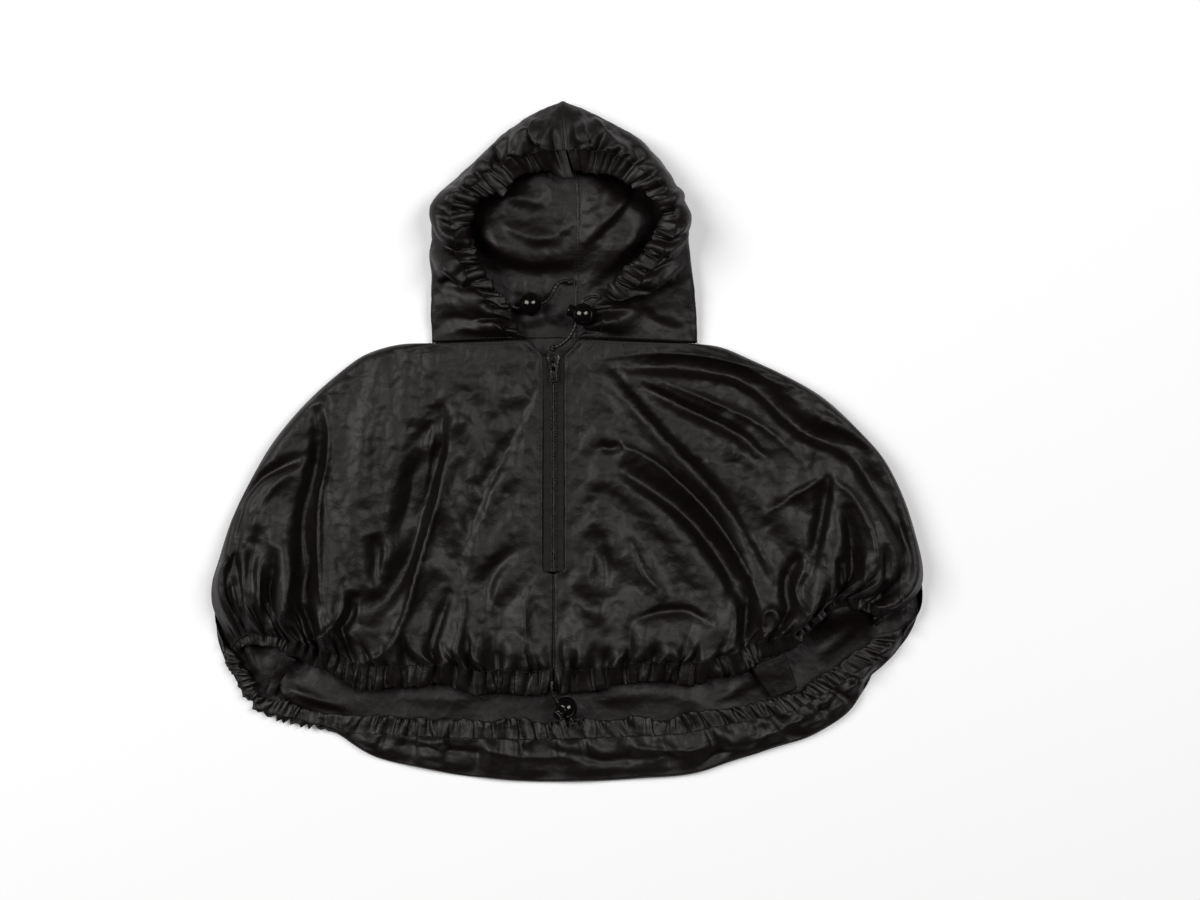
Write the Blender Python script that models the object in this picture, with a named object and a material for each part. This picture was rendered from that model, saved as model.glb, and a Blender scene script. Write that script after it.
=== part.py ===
"""Child's cropped rain poncho with a hood, laid flat on its back.

The garment lies face up on a table: +X is to the right, +Y runs from the hem to the hood's
peak and +Z is up. The back panel rests on z = 0, the two fronts lie over it, and the lower edge
of the back is rolled up and over so that its elastic hem faces the same way as the front hem.
Tables are in millimetres. Every cloth piece is a closed wall, a small gap away from the next.
"""
import math

import bmesh
import bpy
import numpy as np
from mathutils import Matrix, Vector

MM = 0.001
CLOTH = 1.2            # wall of a single panel
CASING = 2.2           # folded cloth with elastic or cord inside
GAP = 0.3              # between neighbouring pieces at a seam
CASING_WIDTH = 14.0    # from the free edge to the stitch line
GATHER_STEP = 3.0      # four of these make one gather of a casing
GATHER_RISE = 1.8      # how far a gather moves the free edge up or down

ZIP_X = -11.6          # middle of the zip
TAPE_HALF = 8.6        # from the zip's middle to the outer edge of the tape that shows
CHAIN_WIDTH = 6.0
ZIP_TOP = 70.0
ZIP_BOTTOM = -108.0    # 180 mm (7 inch) zip with its stops
SEAM_HALF = 0.45       # centre seam below the zip: half of the space between the fronts

CORD_RADIUS = 1.5
KNOT_SETBACK = 3.4     # from a cord's end to the middle of its knot
KNOT_SIDES = 12
BALL_RADIUS = 9.5      # round cord lock, 19 mm across
BALL_MOUTH = 7.6       # these four are distances from the ball's centre along the plunger
SOCKET_FLOOR = -6.4
PLUNGER_FOOT = -3.4
PLUNGER_TOP = 13.2
PLUNGER_RADIUS = 5.0
PLUNGER_TRAVEL = 2.5
SOCKET_SLACK = 0.35
HOLE_OFFSET = 3.2      # from the ball's centre towards the plunger
HOLE_RADIUS = 2.3

SLIDER_Y = 66.0        # middle of the slider
SLIDER_TOP = 17.0      # upper face of its upper plate
SLIDER_PLATE = 1.4     # thickness of that plate
PIVOT_Y = 62.6         # hinge of the pull tab
PIVOT_Z = SLIDER_TOP + 1.2

FRONT_COLUMNS = 30     # points of a front from its centre to its side
SIDE_ROWS = 20         # points of the back along each side seam
HEM_COLUMNS = 46       # points of the back along its lower edge
HOOD_ROWS = 20         # sections of the hood from neck to peak
NECK_SAG = 0.4         # how far the neck seam dips between centre and side

# Left side seam, from the neck to the arm opening; seam_z is the height where front meets back.
SIDE_LEFT = [
    # x, y, seam_z
    (-113.0, 81.2, 6.0), (-139.0, 80.6, 6.0), (-164.0, 73.8, 6.5), (-183.0, 62.3, 7.0),
    (-215.4, 34.0, 7.5), (-243.6, 0.8, 8.0), (-263.5, -32.4, 8.5), (-279.3, -65.6, 9.0),
    (-290.0, -98.8, 9.0), (-295.6, -118.0, 8.5), (-295.6, -136.0, 8.0), (-289.0, -153.0, 7.0),
]
SIDE_RIGHT = [
    (108.0, 80.8, 6.0), (128.2, 78.0, 6.0), (153.9, 67.2, 6.5), (188.8, 50.6, 7.0),
    (215.4, 34.0, 7.5), (242.0, 9.0, 8.0), (263.5, -15.8, 8.5), (280.1, -49.0, 9.0),
    (291.0, -84.0, 9.5), (295.6, -108.0, 9.5), (293.0, -124.0, 9.5), (281.5, -137.0, 10.0),
]
# Front hem and upper side of the arm opening, from the centre outwards.
HEM_FRONT_LEFT = [
    # stitch_x, stitch_y, stitch_z, edge_x, edge_y, edge_z
    (-12.1, -190.0, 12.0, -12.1, -208.0, 11.0), (-31.0, -193.0, 12.2, -33.0, -211.0, 11.0),
    (-52.0, -191.0, 12.4, -54.0, -208.5, 11.2), (-73.0, -192.0, 12.6, -74.0, -211.0, 11.4),
    (-93.0, -188.0, 13.0, -94.0, -205.5, 11.6), (-114.0, -187.0, 13.2, -115.0, -203.5, 11.8),
    (-143.0, -188.0, 13.4, -144.0, -206.0, 11.8), (-172.0, -187.0, 14.0, -173.0, -205.0, 12.0),
    (-197.0, -176.0, 15.0, -201.0, -192.0, 12.6), (-217.0, -166.0, 16.0, -222.0, -182.0, 13.4),
    (-228.0, -161.0, 16.8, -234.0, -177.5, 14.2), (-244.0, -156.0, 18.0, -246.0, -171.5, 15.8),
    (-260.0, -154.5, 17.5, -258.0, -170.0, 15.6), (-273.0, -158.5, 14.5, -267.5, -172.0, 13.0),
    (-282.6, -168.6, 8.0, -273.6, -178.0, 8.0),
]
HEM_FRONT_RIGHT = [
    (-11.1, -190.0, 12.0, -11.1, -208.0, 11.0), (6.0, -191.0, 12.0, 6.0, -208.5, 11.0),
    (27.0, -190.0, 12.2, 27.0, -206.0, 11.2), (48.0, -186.0, 12.6, 48.0, -201.5, 11.4),
    (72.0, -184.5, 13.0, 72.0, -200.5, 11.6), (95.0, -186.0, 13.4, 95.0, -203.0, 11.8),
    (118.0, -182.5, 14.0, 121.0, -198.5, 12.2), (140.0, -176.0, 15.0, 146.0, -191.0, 12.8),
    (156.0, -168.0, 15.6, 162.0, -182.0, 13.4), (172.0, -162.0, 16.2, 177.0, -177.5, 14.0),
    (184.0, -156.0, 17.0, 191.0, -171.0, 14.8), (197.0, -144.0, 18.4, 205.5, -156.0, 16.2),
    (211.0, -130.5, 19.4, 217.0, -143.5, 17.0), (230.0, -124.5, 19.6, 231.0, -139.5, 17.2),
    (249.0, -127.0, 17.4, 245.0, -142.0, 15.4), (262.0, -134.0, 14.4, 252.5, -148.5, 12.6),
    (267.6, -145.4, 11.4, 254.6, -156.4, 9.6),
]
STRAP_ROW_LEFT = 10      # hem row where the strap leaves and the arm opening begins
STRAP_ROW_RIGHT = 10
# Straps from the front hem down to the back hem: rows of a left and a right point.
STRAPS = {
    "strap_left": [((-236.4, -177.6, 13.2), (-225.5, -182.0, 12.6)),
                   ((-245.0, -194.0, 9.0), (-236.6, -197.0, 8.8)),
                   ((-251.4, -210.0, 5.8), (-246.4, -213.2, 5.8))],
    "strap_right": [((152.4, -188.5, 12.2), (180.4, -177.0, 13.4)),
                    ((160.6, -202.0, 10.0), (186.4, -191.0, 10.6)),
                    ((168.8, -214.1, 7.8), (191.1, -205.8, 8.0))],
}
# Lower edge of the back, left to right: the outline, and the free edge of the rolled-up hem.
HEM_BACK = [
    # outline_x, outline_y, outline_z, edge_x, edge_y, edge_z
    (-286.2, -169.6, 5.6, -275.0, -180.2, 7.2), (-283.4, -184.0, 4.4, -270.0, -187.4, 6.4),
    (-275.0, -199.0, 3.6, -263.0, -197.6, 6.2), (-264.6, -214.6, 3.4, -256.0, -208.4, 6.2),
    (-250.0, -227.0, 3.4, -243.0, -216.6, 6.2), (-230.0, -233.4, 3.4, -226.0, -221.4, 6.2),
    (-207.0, -239.0, 3.4, -205.0, -225.8, 6.4), (-189.0, -245.0, 3.4, -182.0, -228.6, 6.6),
    (-158.0, -262.3, 3.5, -148.0, -230.0, 6.8), (-108.0, -274.4, 3.6, -105.8, -231.6, 7.0),
    (-55.0, -281.2, 3.6, -56.0, -233.2, 7.0), (2.0, -282.9, 3.6, -6.2, -233.2, 7.0),
    (58.0, -280.2, 3.6, 43.6, -231.6, 7.0), (103.3, -275.6, 3.8, 86.0, -230.0, 7.2),
    (137.0, -265.0, 4.0, 118.0, -224.4, 7.4), (170.0, -254.6, 4.2, 147.0, -219.2, 7.8),
    (203.0, -243.6, 4.2, 176.4, -213.6, 8.2), (231.0, -226.2, 4.4, 200.0, -202.6, 8.6),
    (248.0, -204.0, 4.6, 221.0, -189.4, 9.0), (262.0, -187.6, 5.0, 238.0, -177.8, 9.2),
    (274.6, -172.0, 5.6, 250.4, -167.4, 9.4), (281.2, -156.0, 6.4, 255.6, -161.8, 9.4),
]
# Crest height of the fronts: rows from neck to hem, columns from the centre to the side seam.
CREST_ROWS = (0.0, 0.2, 0.45, 0.7, 0.88, 1.0)
CREST_COLUMNS = (0.0, 0.15, 0.35, 0.6, 0.85, 1.0)
CREST = [
    (13.6, 13.8, 14.2, 14.6, 14.6, 13.0),
    (12.4, 14.5, 17.0, 18.0, 18.0, 17.0),
    (12.0, 15.0, 18.0, 22.0, 24.0, 24.0),
    (12.0, 14.5, 18.0, 22.5, 26.5, 26.5),
    (12.0, 14.0, 16.5, 21.0, 26.0, 24.0),
]
RIM_RADIUS = 18.0      # over which the fronts rise from the side seam to their crest
PUCKER = 1.3           # rise of the puckers that run from a gathered edge into its panel

# Largest folds. The path runs start, middle, end; a positive rise is a ridge.
FOLDS_LEFT = [
    # x1, y1, x2, y2, x3, y3, half_width, rise
    (-204.0, 32.0, -197.0, -20.0, -204.0, -132.0, 7.5, 4.0),
    (-209.0, 22.0, -212.0, -32.0, -223.0, -132.0, 7.5, -4.5),
    (-216.0, -14.0, -254.0, -32.0, -280.0, -95.0, 7.5, -3.5),
    (-106.0, 26.0, -118.0, -49.0, -168.0, -153.0, 9.0, -6.0),
    (-94.0, -1.0, -120.0, -99.0, -178.0, -184.0, 7.5, 4.0),
    (-131.0, 10.0, -140.0, -32.0, -150.0, -82.0, 7.0, -3.0),
    (-39.0, 51.0, -85.0, -41.0, -99.0, -111.0, 9.0, -4.0),
    (-56.0, 9.0, -64.0, -30.0, -72.0, -78.0, 7.5, -2.5),
    (-160.0, -82.0, -176.0, -110.0, -190.0, -150.0, 7.5, -3.5),
    (-266.0, -90.0, -262.0, -120.0, -258.0, -150.0, 6.5, -3.5),
    (-224.0, -100.0, -231.0, -132.0, -238.0, -158.0, 6.5, -4.0),
]
FOLDS_RIGHT = [
    (31.0, 59.0, 81.0, 1.0, 168.0, -124.0, 9.0, -5.0),
    (44.0, -3.0, 118.0, -62.0, 158.0, -140.0, 8.0, 3.5),
    (44.0, -24.0, 102.0, -74.0, 147.0, -168.0, 8.0, -4.5),
    (60.0, 46.0, 102.0, 26.0, 143.0, 5.0, 8.0, -3.5),
    (130.0, 50.0, 222.0, 0.0, 284.0, -95.0, 9.0, -4.0),
    (216.0, -32.0, 206.0, -80.0, 200.0, -120.0, 8.0, -5.0),
    (164.0, -61.0, 190.0, -44.0, 214.0, -28.0, 8.0, 3.0),
    (222.0, -36.0, 247.0, -66.0, 259.0, -107.0, 8.0, 3.0),
    (238.0, -70.0, 240.0, -95.0, 238.0, -122.0, 6.5, -3.5),
    (168.0, -120.0, 176.0, -140.0, 182.0, -156.0, 6.5, 3.0),
    (20.0, -20.0, 30.0, -80.0, 26.0, -150.0, 9.0, -2.5),
]

# Sections of the hood from the neck up to the centre seam over the peak.
HOOD_LEFT = [
    # outline_x, outline_y, outline_z, stitch_x, stitch_y, stitch_z, edge_x, edge_y, edge_z
    (-113.0, 82.0, 6.0, -46.0, 84.6, 13.6, -32.6, 85.0, 13.2),
    (-113.2, 105.0, 9.0, -58.0, 104.0, 16.5, -44.5, 102.0, 15.0),
    (-112.6, 130.0, 12.0, -71.0, 124.0, 22.0, -56.0, 121.0, 19.5),
    (-111.0, 156.0, 14.0, -87.0, 147.0, 29.0, -72.0, 148.0, 26.5),
    (-106.8, 184.0, 15.0, -95.0, 173.0, 33.0, -82.0, 176.0, 30.0),
    (-101.0, 202.0, 15.0, -91.0, 198.0, 34.0, -78.0, 196.0, 31.0),
    (-84.0, 221.0, 15.0, -74.0, 213.0, 34.0, -61.0, 203.4, 31.0),
    (-62.0, 244.5, 14.0, -54.0, 226.0, 32.0, -42.0, 213.0, 29.0),
    (-36.0, 264.0, 13.0, -30.0, 235.0, 30.0, -21.0, 219.0, 27.0),
    (-4.4, 282.4, 12.0, -1.0, 239.6, 28.0, 5.0, 217.0, 25.0),
]
HOOD_RIGHT = [
    (108.0, 81.6, 6.0, 24.0, 85.2, 13.6, 10.4, 85.6, 13.2),
    (107.2, 105.0, 9.0, 31.0, 106.0, 16.0, 17.4, 104.4, 14.6),
    (105.0, 126.0, 12.0, 41.0, 121.6, 20.5, 27.0, 122.6, 18.0),
    (102.2, 148.0, 14.0, 58.0, 131.0, 27.0, 45.0, 138.4, 24.5),
    (99.6, 168.0, 15.0, 77.0, 152.0, 31.0, 63.0, 160.0, 28.0),
    (97.0, 190.0, 15.0, 88.4, 178.0, 33.5, 76.0, 181.0, 30.5),
    (91.6, 208.0, 15.0, 83.0, 201.0, 34.0, 70.0, 197.0, 31.0),
    (78.0, 226.0, 14.0, 66.0, 219.0, 33.0, 53.0, 209.0, 30.0),
    (52.0, 254.4, 13.0, 36.0, 235.0, 31.0, 30.0, 219.6, 28.0),
    (-3.6, 282.4, 12.0, -0.2, 239.6, 28.0, 5.8, 217.0, 25.0),
]
HOOD_FLOOR_INSET = 8.0        # from the hood's outline to where its back touches the table
# Seam of the hood's back, on the table from the neck to the peak.
HOOD_SEAM = [(6.0, 81.6), (7.0, 120.0), (8.6, 170.0), (7.4, 216.0), (-3.0, 267.0)]
FOLDS_HOOD_LEFT = [
    (-102.0, 128.0, -92.0, 134.0, -82.0, 130.0, 6.0, -3.0),
    (-100.0, 108.0, -88.0, 100.0, -72.0, 98.0, 6.5, -3.0),
    (-46.0, 246.0, -36.0, 250.0, -20.0, 262.0, 6.0, 3.0),
]
FOLDS_HOOD_RIGHT = [
    (94.0, 160.0, 78.0, 148.0, 44.0, 128.0, 6.5, -3.5),
    (60.0, 112.0, 70.0, 100.0, 92.0, 92.0, 6.5, -3.0),
    (20.0, 266.0, 34.0, 252.0, 42.0, 240.0, 6.0, 3.0),
]

# Cord routes: hand-placed points from the buttonhole to the knotted end.
CORD_HOOD_LEFT = [
    (-51.6, 117.2, 17.8), (-47.2, 112.6, 15.0), (-40.7, 110.3, 13.1), (-33.9, 111.8, 12.8),
    (-27.1, 113.4, 12.4), (-20.3, 114.9, 12.1), (-15.6, 118.6, 9.0), (-12.4, 124.0, 6.2),
    (-9.0, 129.6, 5.2), (-4.6, 133.0, 5.2), (0.4, 133.2, 5.2), (5.4, 131.6, 5.2),
]
CORD_HOOD_RIGHT = [
    (25.4, 119.0, 21.4), (19.4, 119.2, 23.6), (13.0, 115.6, 24.9), (10.9, 108.9, 24.2),
    (8.8, 102.3, 23.6), (6.7, 95.6, 22.9), (4.2, 89.6, 21.8), (0.4, 84.4, 20.4),
    (-4.4, 80.6, 19.2), (-9.6, 77.9, 18.4), (-15.0, 76.0, 18.0),
]
CORD_HEM = [
    (-12.6, -198.6, 15.0), (-13.0, -204.0, 15.4), (-12.4, -210.4, 14.4), (-9.3, -215.2, 13.4),
    (-5.0, -220.7, 13.4), (-0.8, -226.3, 13.4), (3.5, -231.8, 13.4), (7.2, -237.4, 14.2),
]
# Round cord locks: the route's point before the lock's hole and the way the plunger points.
LOCKS = [
    # name, route, point_before_hole, plunger_direction
    ("hood_left", CORD_HOOD_LEFT, 3, (0.10, -0.42, -0.90)),
    ("hood_right", CORD_HOOD_RIGHT, 3, (-0.95, 0.30, 0.06)),
    ("hem", CORD_HEM, 4, (-0.52, -0.40, 0.75)),
]

# ---------------------------------------------------------------- curves and tables

def row_at(table, t):
    """Values of a table at row number t, read smoothly between its rows."""
    last = len(table) - 1
    i = min(int(t), last - 1)
    f = t - i
    a, b, c, d = (np.array(table[min(max(k, 0), last)], float) for k in (i - 1, i, i + 1, i + 2))
    return 0.5 * (2 * b + (c - a) * f + (2 * a - 5 * b + 4 * c - d) * f * f
                  + (3 * b - a - 3 * c + d) * f ** 3)


def rows_along(table, fractions, x_column=0):
    """Row numbers at the given fractions of a table's plan length."""
    fine = np.linspace(0, len(table) - 1, 24 * (len(table) - 1) + 1)
    plan = np.array([row_at(table, t)[x_column:x_column + 2] for t in fine])
    length = np.concatenate([[0], np.cumsum(np.linalg.norm(np.diff(plan, axis=0), axis=1))])
    return np.interp(np.asarray(fractions) * length[-1], length, fine)


def crest_height(u, v, hem_z):
    """Height of a front's crest at u (centre to side) and v (neck to hem)."""
    columns = [np.interp(u, CREST_COLUMNS, row) for row in CREST] + [hem_z]
    i = min(int(np.searchsorted(CREST_ROWS, v, side="right")) - 1, len(CREST_ROWS) - 2)
    f = (v - CREST_ROWS[i]) / (CREST_ROWS[i + 1] - CREST_ROWS[i])
    f = f * f * (3 - 2 * f)
    return columns[i] * (1 - f) + columns[i + 1] * f


def fold_height(x, y, folds):
    """Sum of the folds at a point: a soft ridge or trough that tapers to both its ends."""
    total = 0.0
    for x1, y1, x2, y2, x3, y3, half_width, rise in folds:
        s = np.linspace(0, 1, 25)
        fx = (1 - s) ** 2 * x1 + 2 * s * (1 - s) * x2 + s ** 2 * x3
        fy = (1 - s) ** 2 * y1 + 2 * s * (1 - s) * y2 + s ** 2 * y3
        distance = np.hypot(fx - x, fy - y)
        k = int(distance.argmin())
        total += rise * math.exp(-(distance[k] / half_width) ** 2) * math.sin(math.pi * s[k]) ** 0.6
    return total


# ---------------------------------------------------------------- meshes

def finish(name, colour, roughness, metallic=0.0):
    """Material of one piece."""
    material = bpy.data.materials.new(name)
    material.use_nodes = True
    shader = material.node_tree.nodes["Principled BSDF"]
    shader.inputs["Base Color"].default_value = (*colour, 1.0)
    shader.inputs["Roughness"].default_value = roughness
    shader.inputs["Metallic"].default_value = metallic
    return material


def nylon(name):
    return finish(name, (0.016, 0.015, 0.016), 0.42)


def black_plastic(name):
    return finish(name, (0.008, 0.008, 0.009), 0.18)


def add_object(name, mesh_data, material, smooth=True):
    """Bmesh to a named object whose faces all point outwards."""
    bmesh.ops.recalc_face_normals(mesh_data, faces=mesh_data.faces)
    mesh = bpy.data.meshes.new(name)
    mesh_data.to_mesh(mesh)
    mesh_data.free()
    if smooth:
        mesh.shade_smooth()
        mesh.set_sharp_from_angle(angle=math.radians(40))
    piece = bpy.data.objects.new(name, mesh)
    bpy.context.scene.collection.objects.link(piece)
    piece.data.materials.append(material)
    return piece


def solid(name, points, faces, material, smooth=True):
    data = bmesh.new()
    corners = [data.verts.new(Vector(p) * MM) for p in points]
    for face in faces:
        data.faces.new([corners[k] for k in face])
    return add_object(name, data, material, smooth)


def grid_faces(rows, columns):
    """Quads of a grid of points stored row by row."""
    return [(i * columns + j, i * columns + j + 1, (i + 1) * columns + j + 1, (i + 1) * columns + j)
            for i in range(rows - 1) for j in range(columns - 1)]


def point_normals(points, faces):
    normals = np.zeros_like(points)
    for face in faces:
        ring = points[list(face)]
        area = sum(np.cross(ring[k], ring[(k + 1) % len(ring)]) for k in range(len(ring)))
        for k in face:
            normals[k] += area
    return normals / np.linalg.norm(normals, axis=1)[:, None]


def across_path(points):
    """Unit directions in plan, square to a path."""
    along = np.gradient(np.array(points)[:, :2], axis=0)
    along /= np.linalg.norm(along, axis=1)[:, None]
    return np.column_stack([-along[:, 1], along[:, 0]])


def wall(name, points, faces, upward_at, upright_ends, level_ends, material, thickness=CLOTH):
    """Closed wall inwards from an open surface.

    upward_at is a point whose outer side faces up. upright_ends maps a point on a seam to the
    direction across that seam, where the wall's end stands upright. At the points of level_ends
    the wall ends level, face to face with the wall below or above it.
    """
    points = np.array(points, float)
    normals = point_normals(points, faces)
    if normals[upward_at][2] < 0:
        normals = -normals
    for k in level_ends:
        normals[k][2] = 0.0
    for k, across in upright_ends.items():
        across = np.array(across)
        normals[k][:2] -= across * normals[k][:2].dot(across)
    normals[points[:, 2] < 1e-6] = (0.0, 0.0, -1.0)
    normals /= np.linalg.norm(normals, axis=1)[:, None]
    inner = points - normals * thickness
    count = len(points)
    sides = set()
    for face in faces:
        sides.update(zip(face, face[1:] + face[:1]))
    rim = [(b, a, a + count, b + count) for a, b in sorted(sides) if (b, a) not in sides]
    back = [tuple(k + count for k in reversed(face)) for face in faces]
    return solid(name, np.vstack([points, inner]), list(faces) + back + rim, material)


# ---------------------------------------------------------------- fronts and their hems

def column_fractions(count):
    """Column places from centre to side, closer together over the rounded rim."""
    rim = [0.93, 0.965, 0.985, 0.995, 1.0]
    return list(np.linspace(0, 0.885, count - len(rim))) + rim


def centre_line(sign):
    """Inner edge of a front: V at the neck, straight beside the zip, then the centre seam."""
    neck_x, neck_y = (-32.6, 84.3) if sign < 0 else (10.4, 84.9)
    tape_x = ZIP_X + sign * (TAPE_HALF + GAP)
    seam_x = ZIP_X + sign * SEAM_HALF
    ys = [58, 40, 18, -6, -30, -56, -84]
    path = [(neck_x, neck_y), (tape_x, ZIP_TOP)] + [(tape_x, y) for y in ys]
    path += [(tape_x, ZIP_BOTTOM), (seam_x, ZIP_BOTTOM - 3)]
    return path + [(seam_x, y) for y in (-132, -152, -172, -190)]


def front_panel(name, sign, side, hem, folds, material):
    """One front as a patch between its centre line, neck, side seam and hem stitch line.

    Returns the plan points and heights of its hem edge with their rows in the hem table.
    """
    centre = np.array(centre_line(sign), float)
    steps = np.linalg.norm(np.diff(centre, axis=0), axis=1)
    vs = np.concatenate([[0], np.cumsum(steps)]) / steps.sum()
    us = column_fractions(FRONT_COLUMNS)
    hem_rows = rows_along(hem, us)
    bottom = np.array([row_at(hem, t)[:3] for t in hem_rows])
    side = side + [tuple(hem[-1][:3])]
    outer = np.array([row_at(side, t) for t in rows_along(side, vs)])
    neck_end = outer[0][:2]
    points = []
    for i, v in enumerate(vs):
        for j, u in enumerate(us):
            sag = NECK_SAG * math.sin(math.pi * u)
            top = centre[0] * (1 - u) + neck_end * u - (0, sag)
            corners = ((1 - u) * (1 - v) * centre[0] + u * (1 - v) * neck_end
                       + (1 - u) * v * centre[-1] + u * v * bottom[-1][:2])
            plan = ((1 - v) * top + v * bottom[j][:2] + (1 - u) * centre[i] + u * outer[i][:2]
                    - corners)
            if i == 0:
                plan[1] -= GAP / 2
            points.append([plan[0], plan[1], 0.0])
    points = np.array(points).reshape(len(vs), len(us), 3)
    for i, v in enumerate(vs):
        to_side = np.linalg.norm(points[i, :, :2] - points[i, -1, :2], axis=1)
        radius = min(RIM_RADIUS, 0.4 * to_side[0])
        for j, u in enumerate(us):
            x, y = points[i, j, :2]
            crest = crest_height(u, v, bottom[j][2])
            crest += fold_height(x, y, folds) * min(1.0, 5 * v * (1 - v) + 0.15)
            lift = math.sqrt(max(0.0, 1 - (1 - min(to_side[j] / radius, 1.0)) ** 2))
            crest += PUCKER * (-1) ** j * max(0.0, v - 0.7) / 0.3
            seam_z = outer[i][2] + GAP
            points[i, j, 2] = seam_z + (crest - seam_z) * lift
    points[-1, :, 2] = bottom[:, 2]
    rows, columns = len(vs), len(us)
    last = (rows - 1) * columns
    ends = {i * columns: (1.0, 0.0) for i in range(rows)}
    ends.update({j: (0.0, 1.0) for j in range(columns)})
    ends.update({last + j: across for j, across in enumerate(across_path(points[-1]))})
    rim = [i * columns + columns - 1 for i in range(rows - 1)]
    middle = (rows // 2) * columns + columns // 2
    wall(name, points.reshape(-1, 3), grid_faces(rows, columns), middle, ends, rim, material)
    return points[-1], hem_rows


def casing_samples(edge_points, edge_rows, first, last):
    """Split the seam side of a casing into gather steps between rows first and last."""
    seam, numbers = [], []
    for k in range(len(edge_rows) - 1):
        length = np.linalg.norm(edge_points[k + 1] - edge_points[k])
        parts = max(1, round(length / GATHER_STEP))
        for p in range(parts):
            f = p / parts
            seam.append(edge_points[k] * (1 - f) + edge_points[k + 1] * f)
            numbers.append(edge_rows[k] * (1 - f) + edge_rows[k + 1] * f)
    seam.append(edge_points[-1])
    numbers.append(edge_rows[-1])
    inside = [k for k, t in enumerate(numbers) if first <= t <= last]
    return np.array(seam)[inside], np.array(numbers)[inside]


def casing(name, seam, free, material, rise=GATHER_RISE):
    """Gathered casing: a strip from a panel's seam to its free edge, which runs in waves."""
    seam, free = np.array(seam, float), np.array(free, float)
    count = len(seam)
    across = across_path(seam)
    along = np.column_stack([across[:, 1], -across[:, 0]])
    across *= np.sign((across * (free - seam)[:, :2]).sum(axis=1).mean())
    points = []
    for k in range(count):
        wave = (0.0, 1.0, 0.0, -1.0)[k % 4]
        uneven = 0.75 + 0.25 * math.sin(k * 0.71) + 0.2 * math.sin(k * 0.29 + 1.0)
        lift = rise * wave * uneven
        trim = along[k] * (GAP * 0.6) * ((k == 0) - (k == count - 1))
        start = seam[k, :2] + across[k] * GAP + trim
        end = free[k, :2] + across[k] * 0.5 * wave * uneven + trim
        seam_top = seam[k, 2] + 0.35 * lift + 0.5
        free_top = free[k, 2] + lift
        points += [(*start, seam_top), (*end, free_top),
                   (*end, free_top - CASING), (*start, seam_top - CASING)]
    faces = [(0, 1, 2, 3), tuple(4 * (count - 1) + m for m in (3, 2, 1, 0))]
    for k in range(count - 1):
        for m in range(4):
            n = (m + 1) % 4
            faces.append((4 * k + m, 4 * (k + 1) + m, 4 * (k + 1) + n, 4 * k + n))
    return solid(name, points, faces, material)


def front_casings(side_name, edge_points, hem_rows, hem, strap_row):
    """Front hem and the upper side of the arm opening."""
    for name, first, last in ((f"hem_front_{side_name}", 0, strap_row),
                              (f"cuff_front_{side_name}", strap_row, len(hem) - 1)):
        seam, numbers = casing_samples(edge_points, hem_rows, first, last)
        free = [row_at(hem, t)[3:6] for t in numbers]
        casing(name, seam, free, nylon(name))


# ---------------------------------------------------------------- back panel

def back_stitch(row):
    """Point of the rolled-up hem where its casing is stitched."""
    outline, edge = row[:2], row[3:5]
    reach = np.linalg.norm(outline - edge)
    share = min(CASING_WIDTH, 0.66 * reach) / reach
    return np.array([*(edge + (outline - edge) * share), row[5] + 0.3])


def back_panel(material):
    """Back: flat on the table, turned up at the side seams and rolled over at the bottom.

    Returns the points of its stitch line and their rows in the hem table.
    """
    left = [row_at(SIDE_LEFT, t) for t in rows_along(SIDE_LEFT, np.linspace(0, 1, SIDE_ROWS))]
    right = [row_at(SIDE_RIGHT, t) for t in rows_along(SIDE_RIGHT, np.linspace(0, 1, SIDE_ROWS))]
    hem_rows = rows_along(HEM_BACK, np.linspace(0, 1, HEM_COLUMNS))
    bottom = [row_at(HEM_BACK, t) for t in hem_rows]
    left[0][1] = right[0][1] = SIDE_LEFT[0][1] - GAP
    rim = left + bottom + right[::-1]
    count = len(rim)
    outline = np.array([row[:2] for row in rim])
    inward = across_path(outline)
    inward[0], inward[-1] = (1.0, 0.0), (-1.0, 0.0)
    points = []
    for inset, share in ((7.0, 0.0), (2.2, 0.3), (0.0, 1.0)):
        for k, row in enumerate(rim):
            spot = outline[k] + inward[k] * inset
            points.append((*spot, share * row[2]))
    faces = grid_faces(3, count)
    faces.append(tuple(reversed(range(count))))
    first, after = len(left), len(left) + len(bottom)
    previous = [2 * count + k for k in range(first, after)]
    for angle in (35, 65, 90):
        turn = math.radians(angle)
        current = []
        for row in bottom:
            stitch = back_stitch(row)
            plan = row[:2] + (stitch[:2] - row[:2]) * (1 - math.cos(turn))
            height = row[2] + (stitch[2] - row[2]) * math.sin(turn)
            current.append(len(points))
            points.append((*plan, height))
        faces += [(previous[k], previous[k + 1], current[k + 1], current[k])
                  for k in range(len(bottom) - 1)]
        previous = current
    ends = dict(zip(previous, across_path([points[k] for k in previous])))
    ends.update({k: (0.0, 1.0) for i in range(3) for k in (i * count, (i + 1) * count - 1)})
    level = [2 * count + k for k in range(count) if k < first or k >= after]
    wall("back_panel", points, faces, previous[len(previous) // 2], ends, level, material)
    return np.array([points[k] for k in previous]), hem_rows


def back_casings(edge_points, hem_rows):
    """Elastic hem of the back in three stretches: left arm, middle and right arm."""
    last = len(HEM_BACK) - 1
    for name, start, end in (("cuff_back_left", 0, 5), ("hem_back", 5, 17),
                             ("cuff_back_right", 17, last)):
        seam, numbers = casing_samples(edge_points, hem_rows, start, end)
        free = [row_at(HEM_BACK, t)[3:6] for t in numbers]
        casing(name, seam, free, nylon(name))


# ---------------------------------------------------------------- hood

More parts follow.
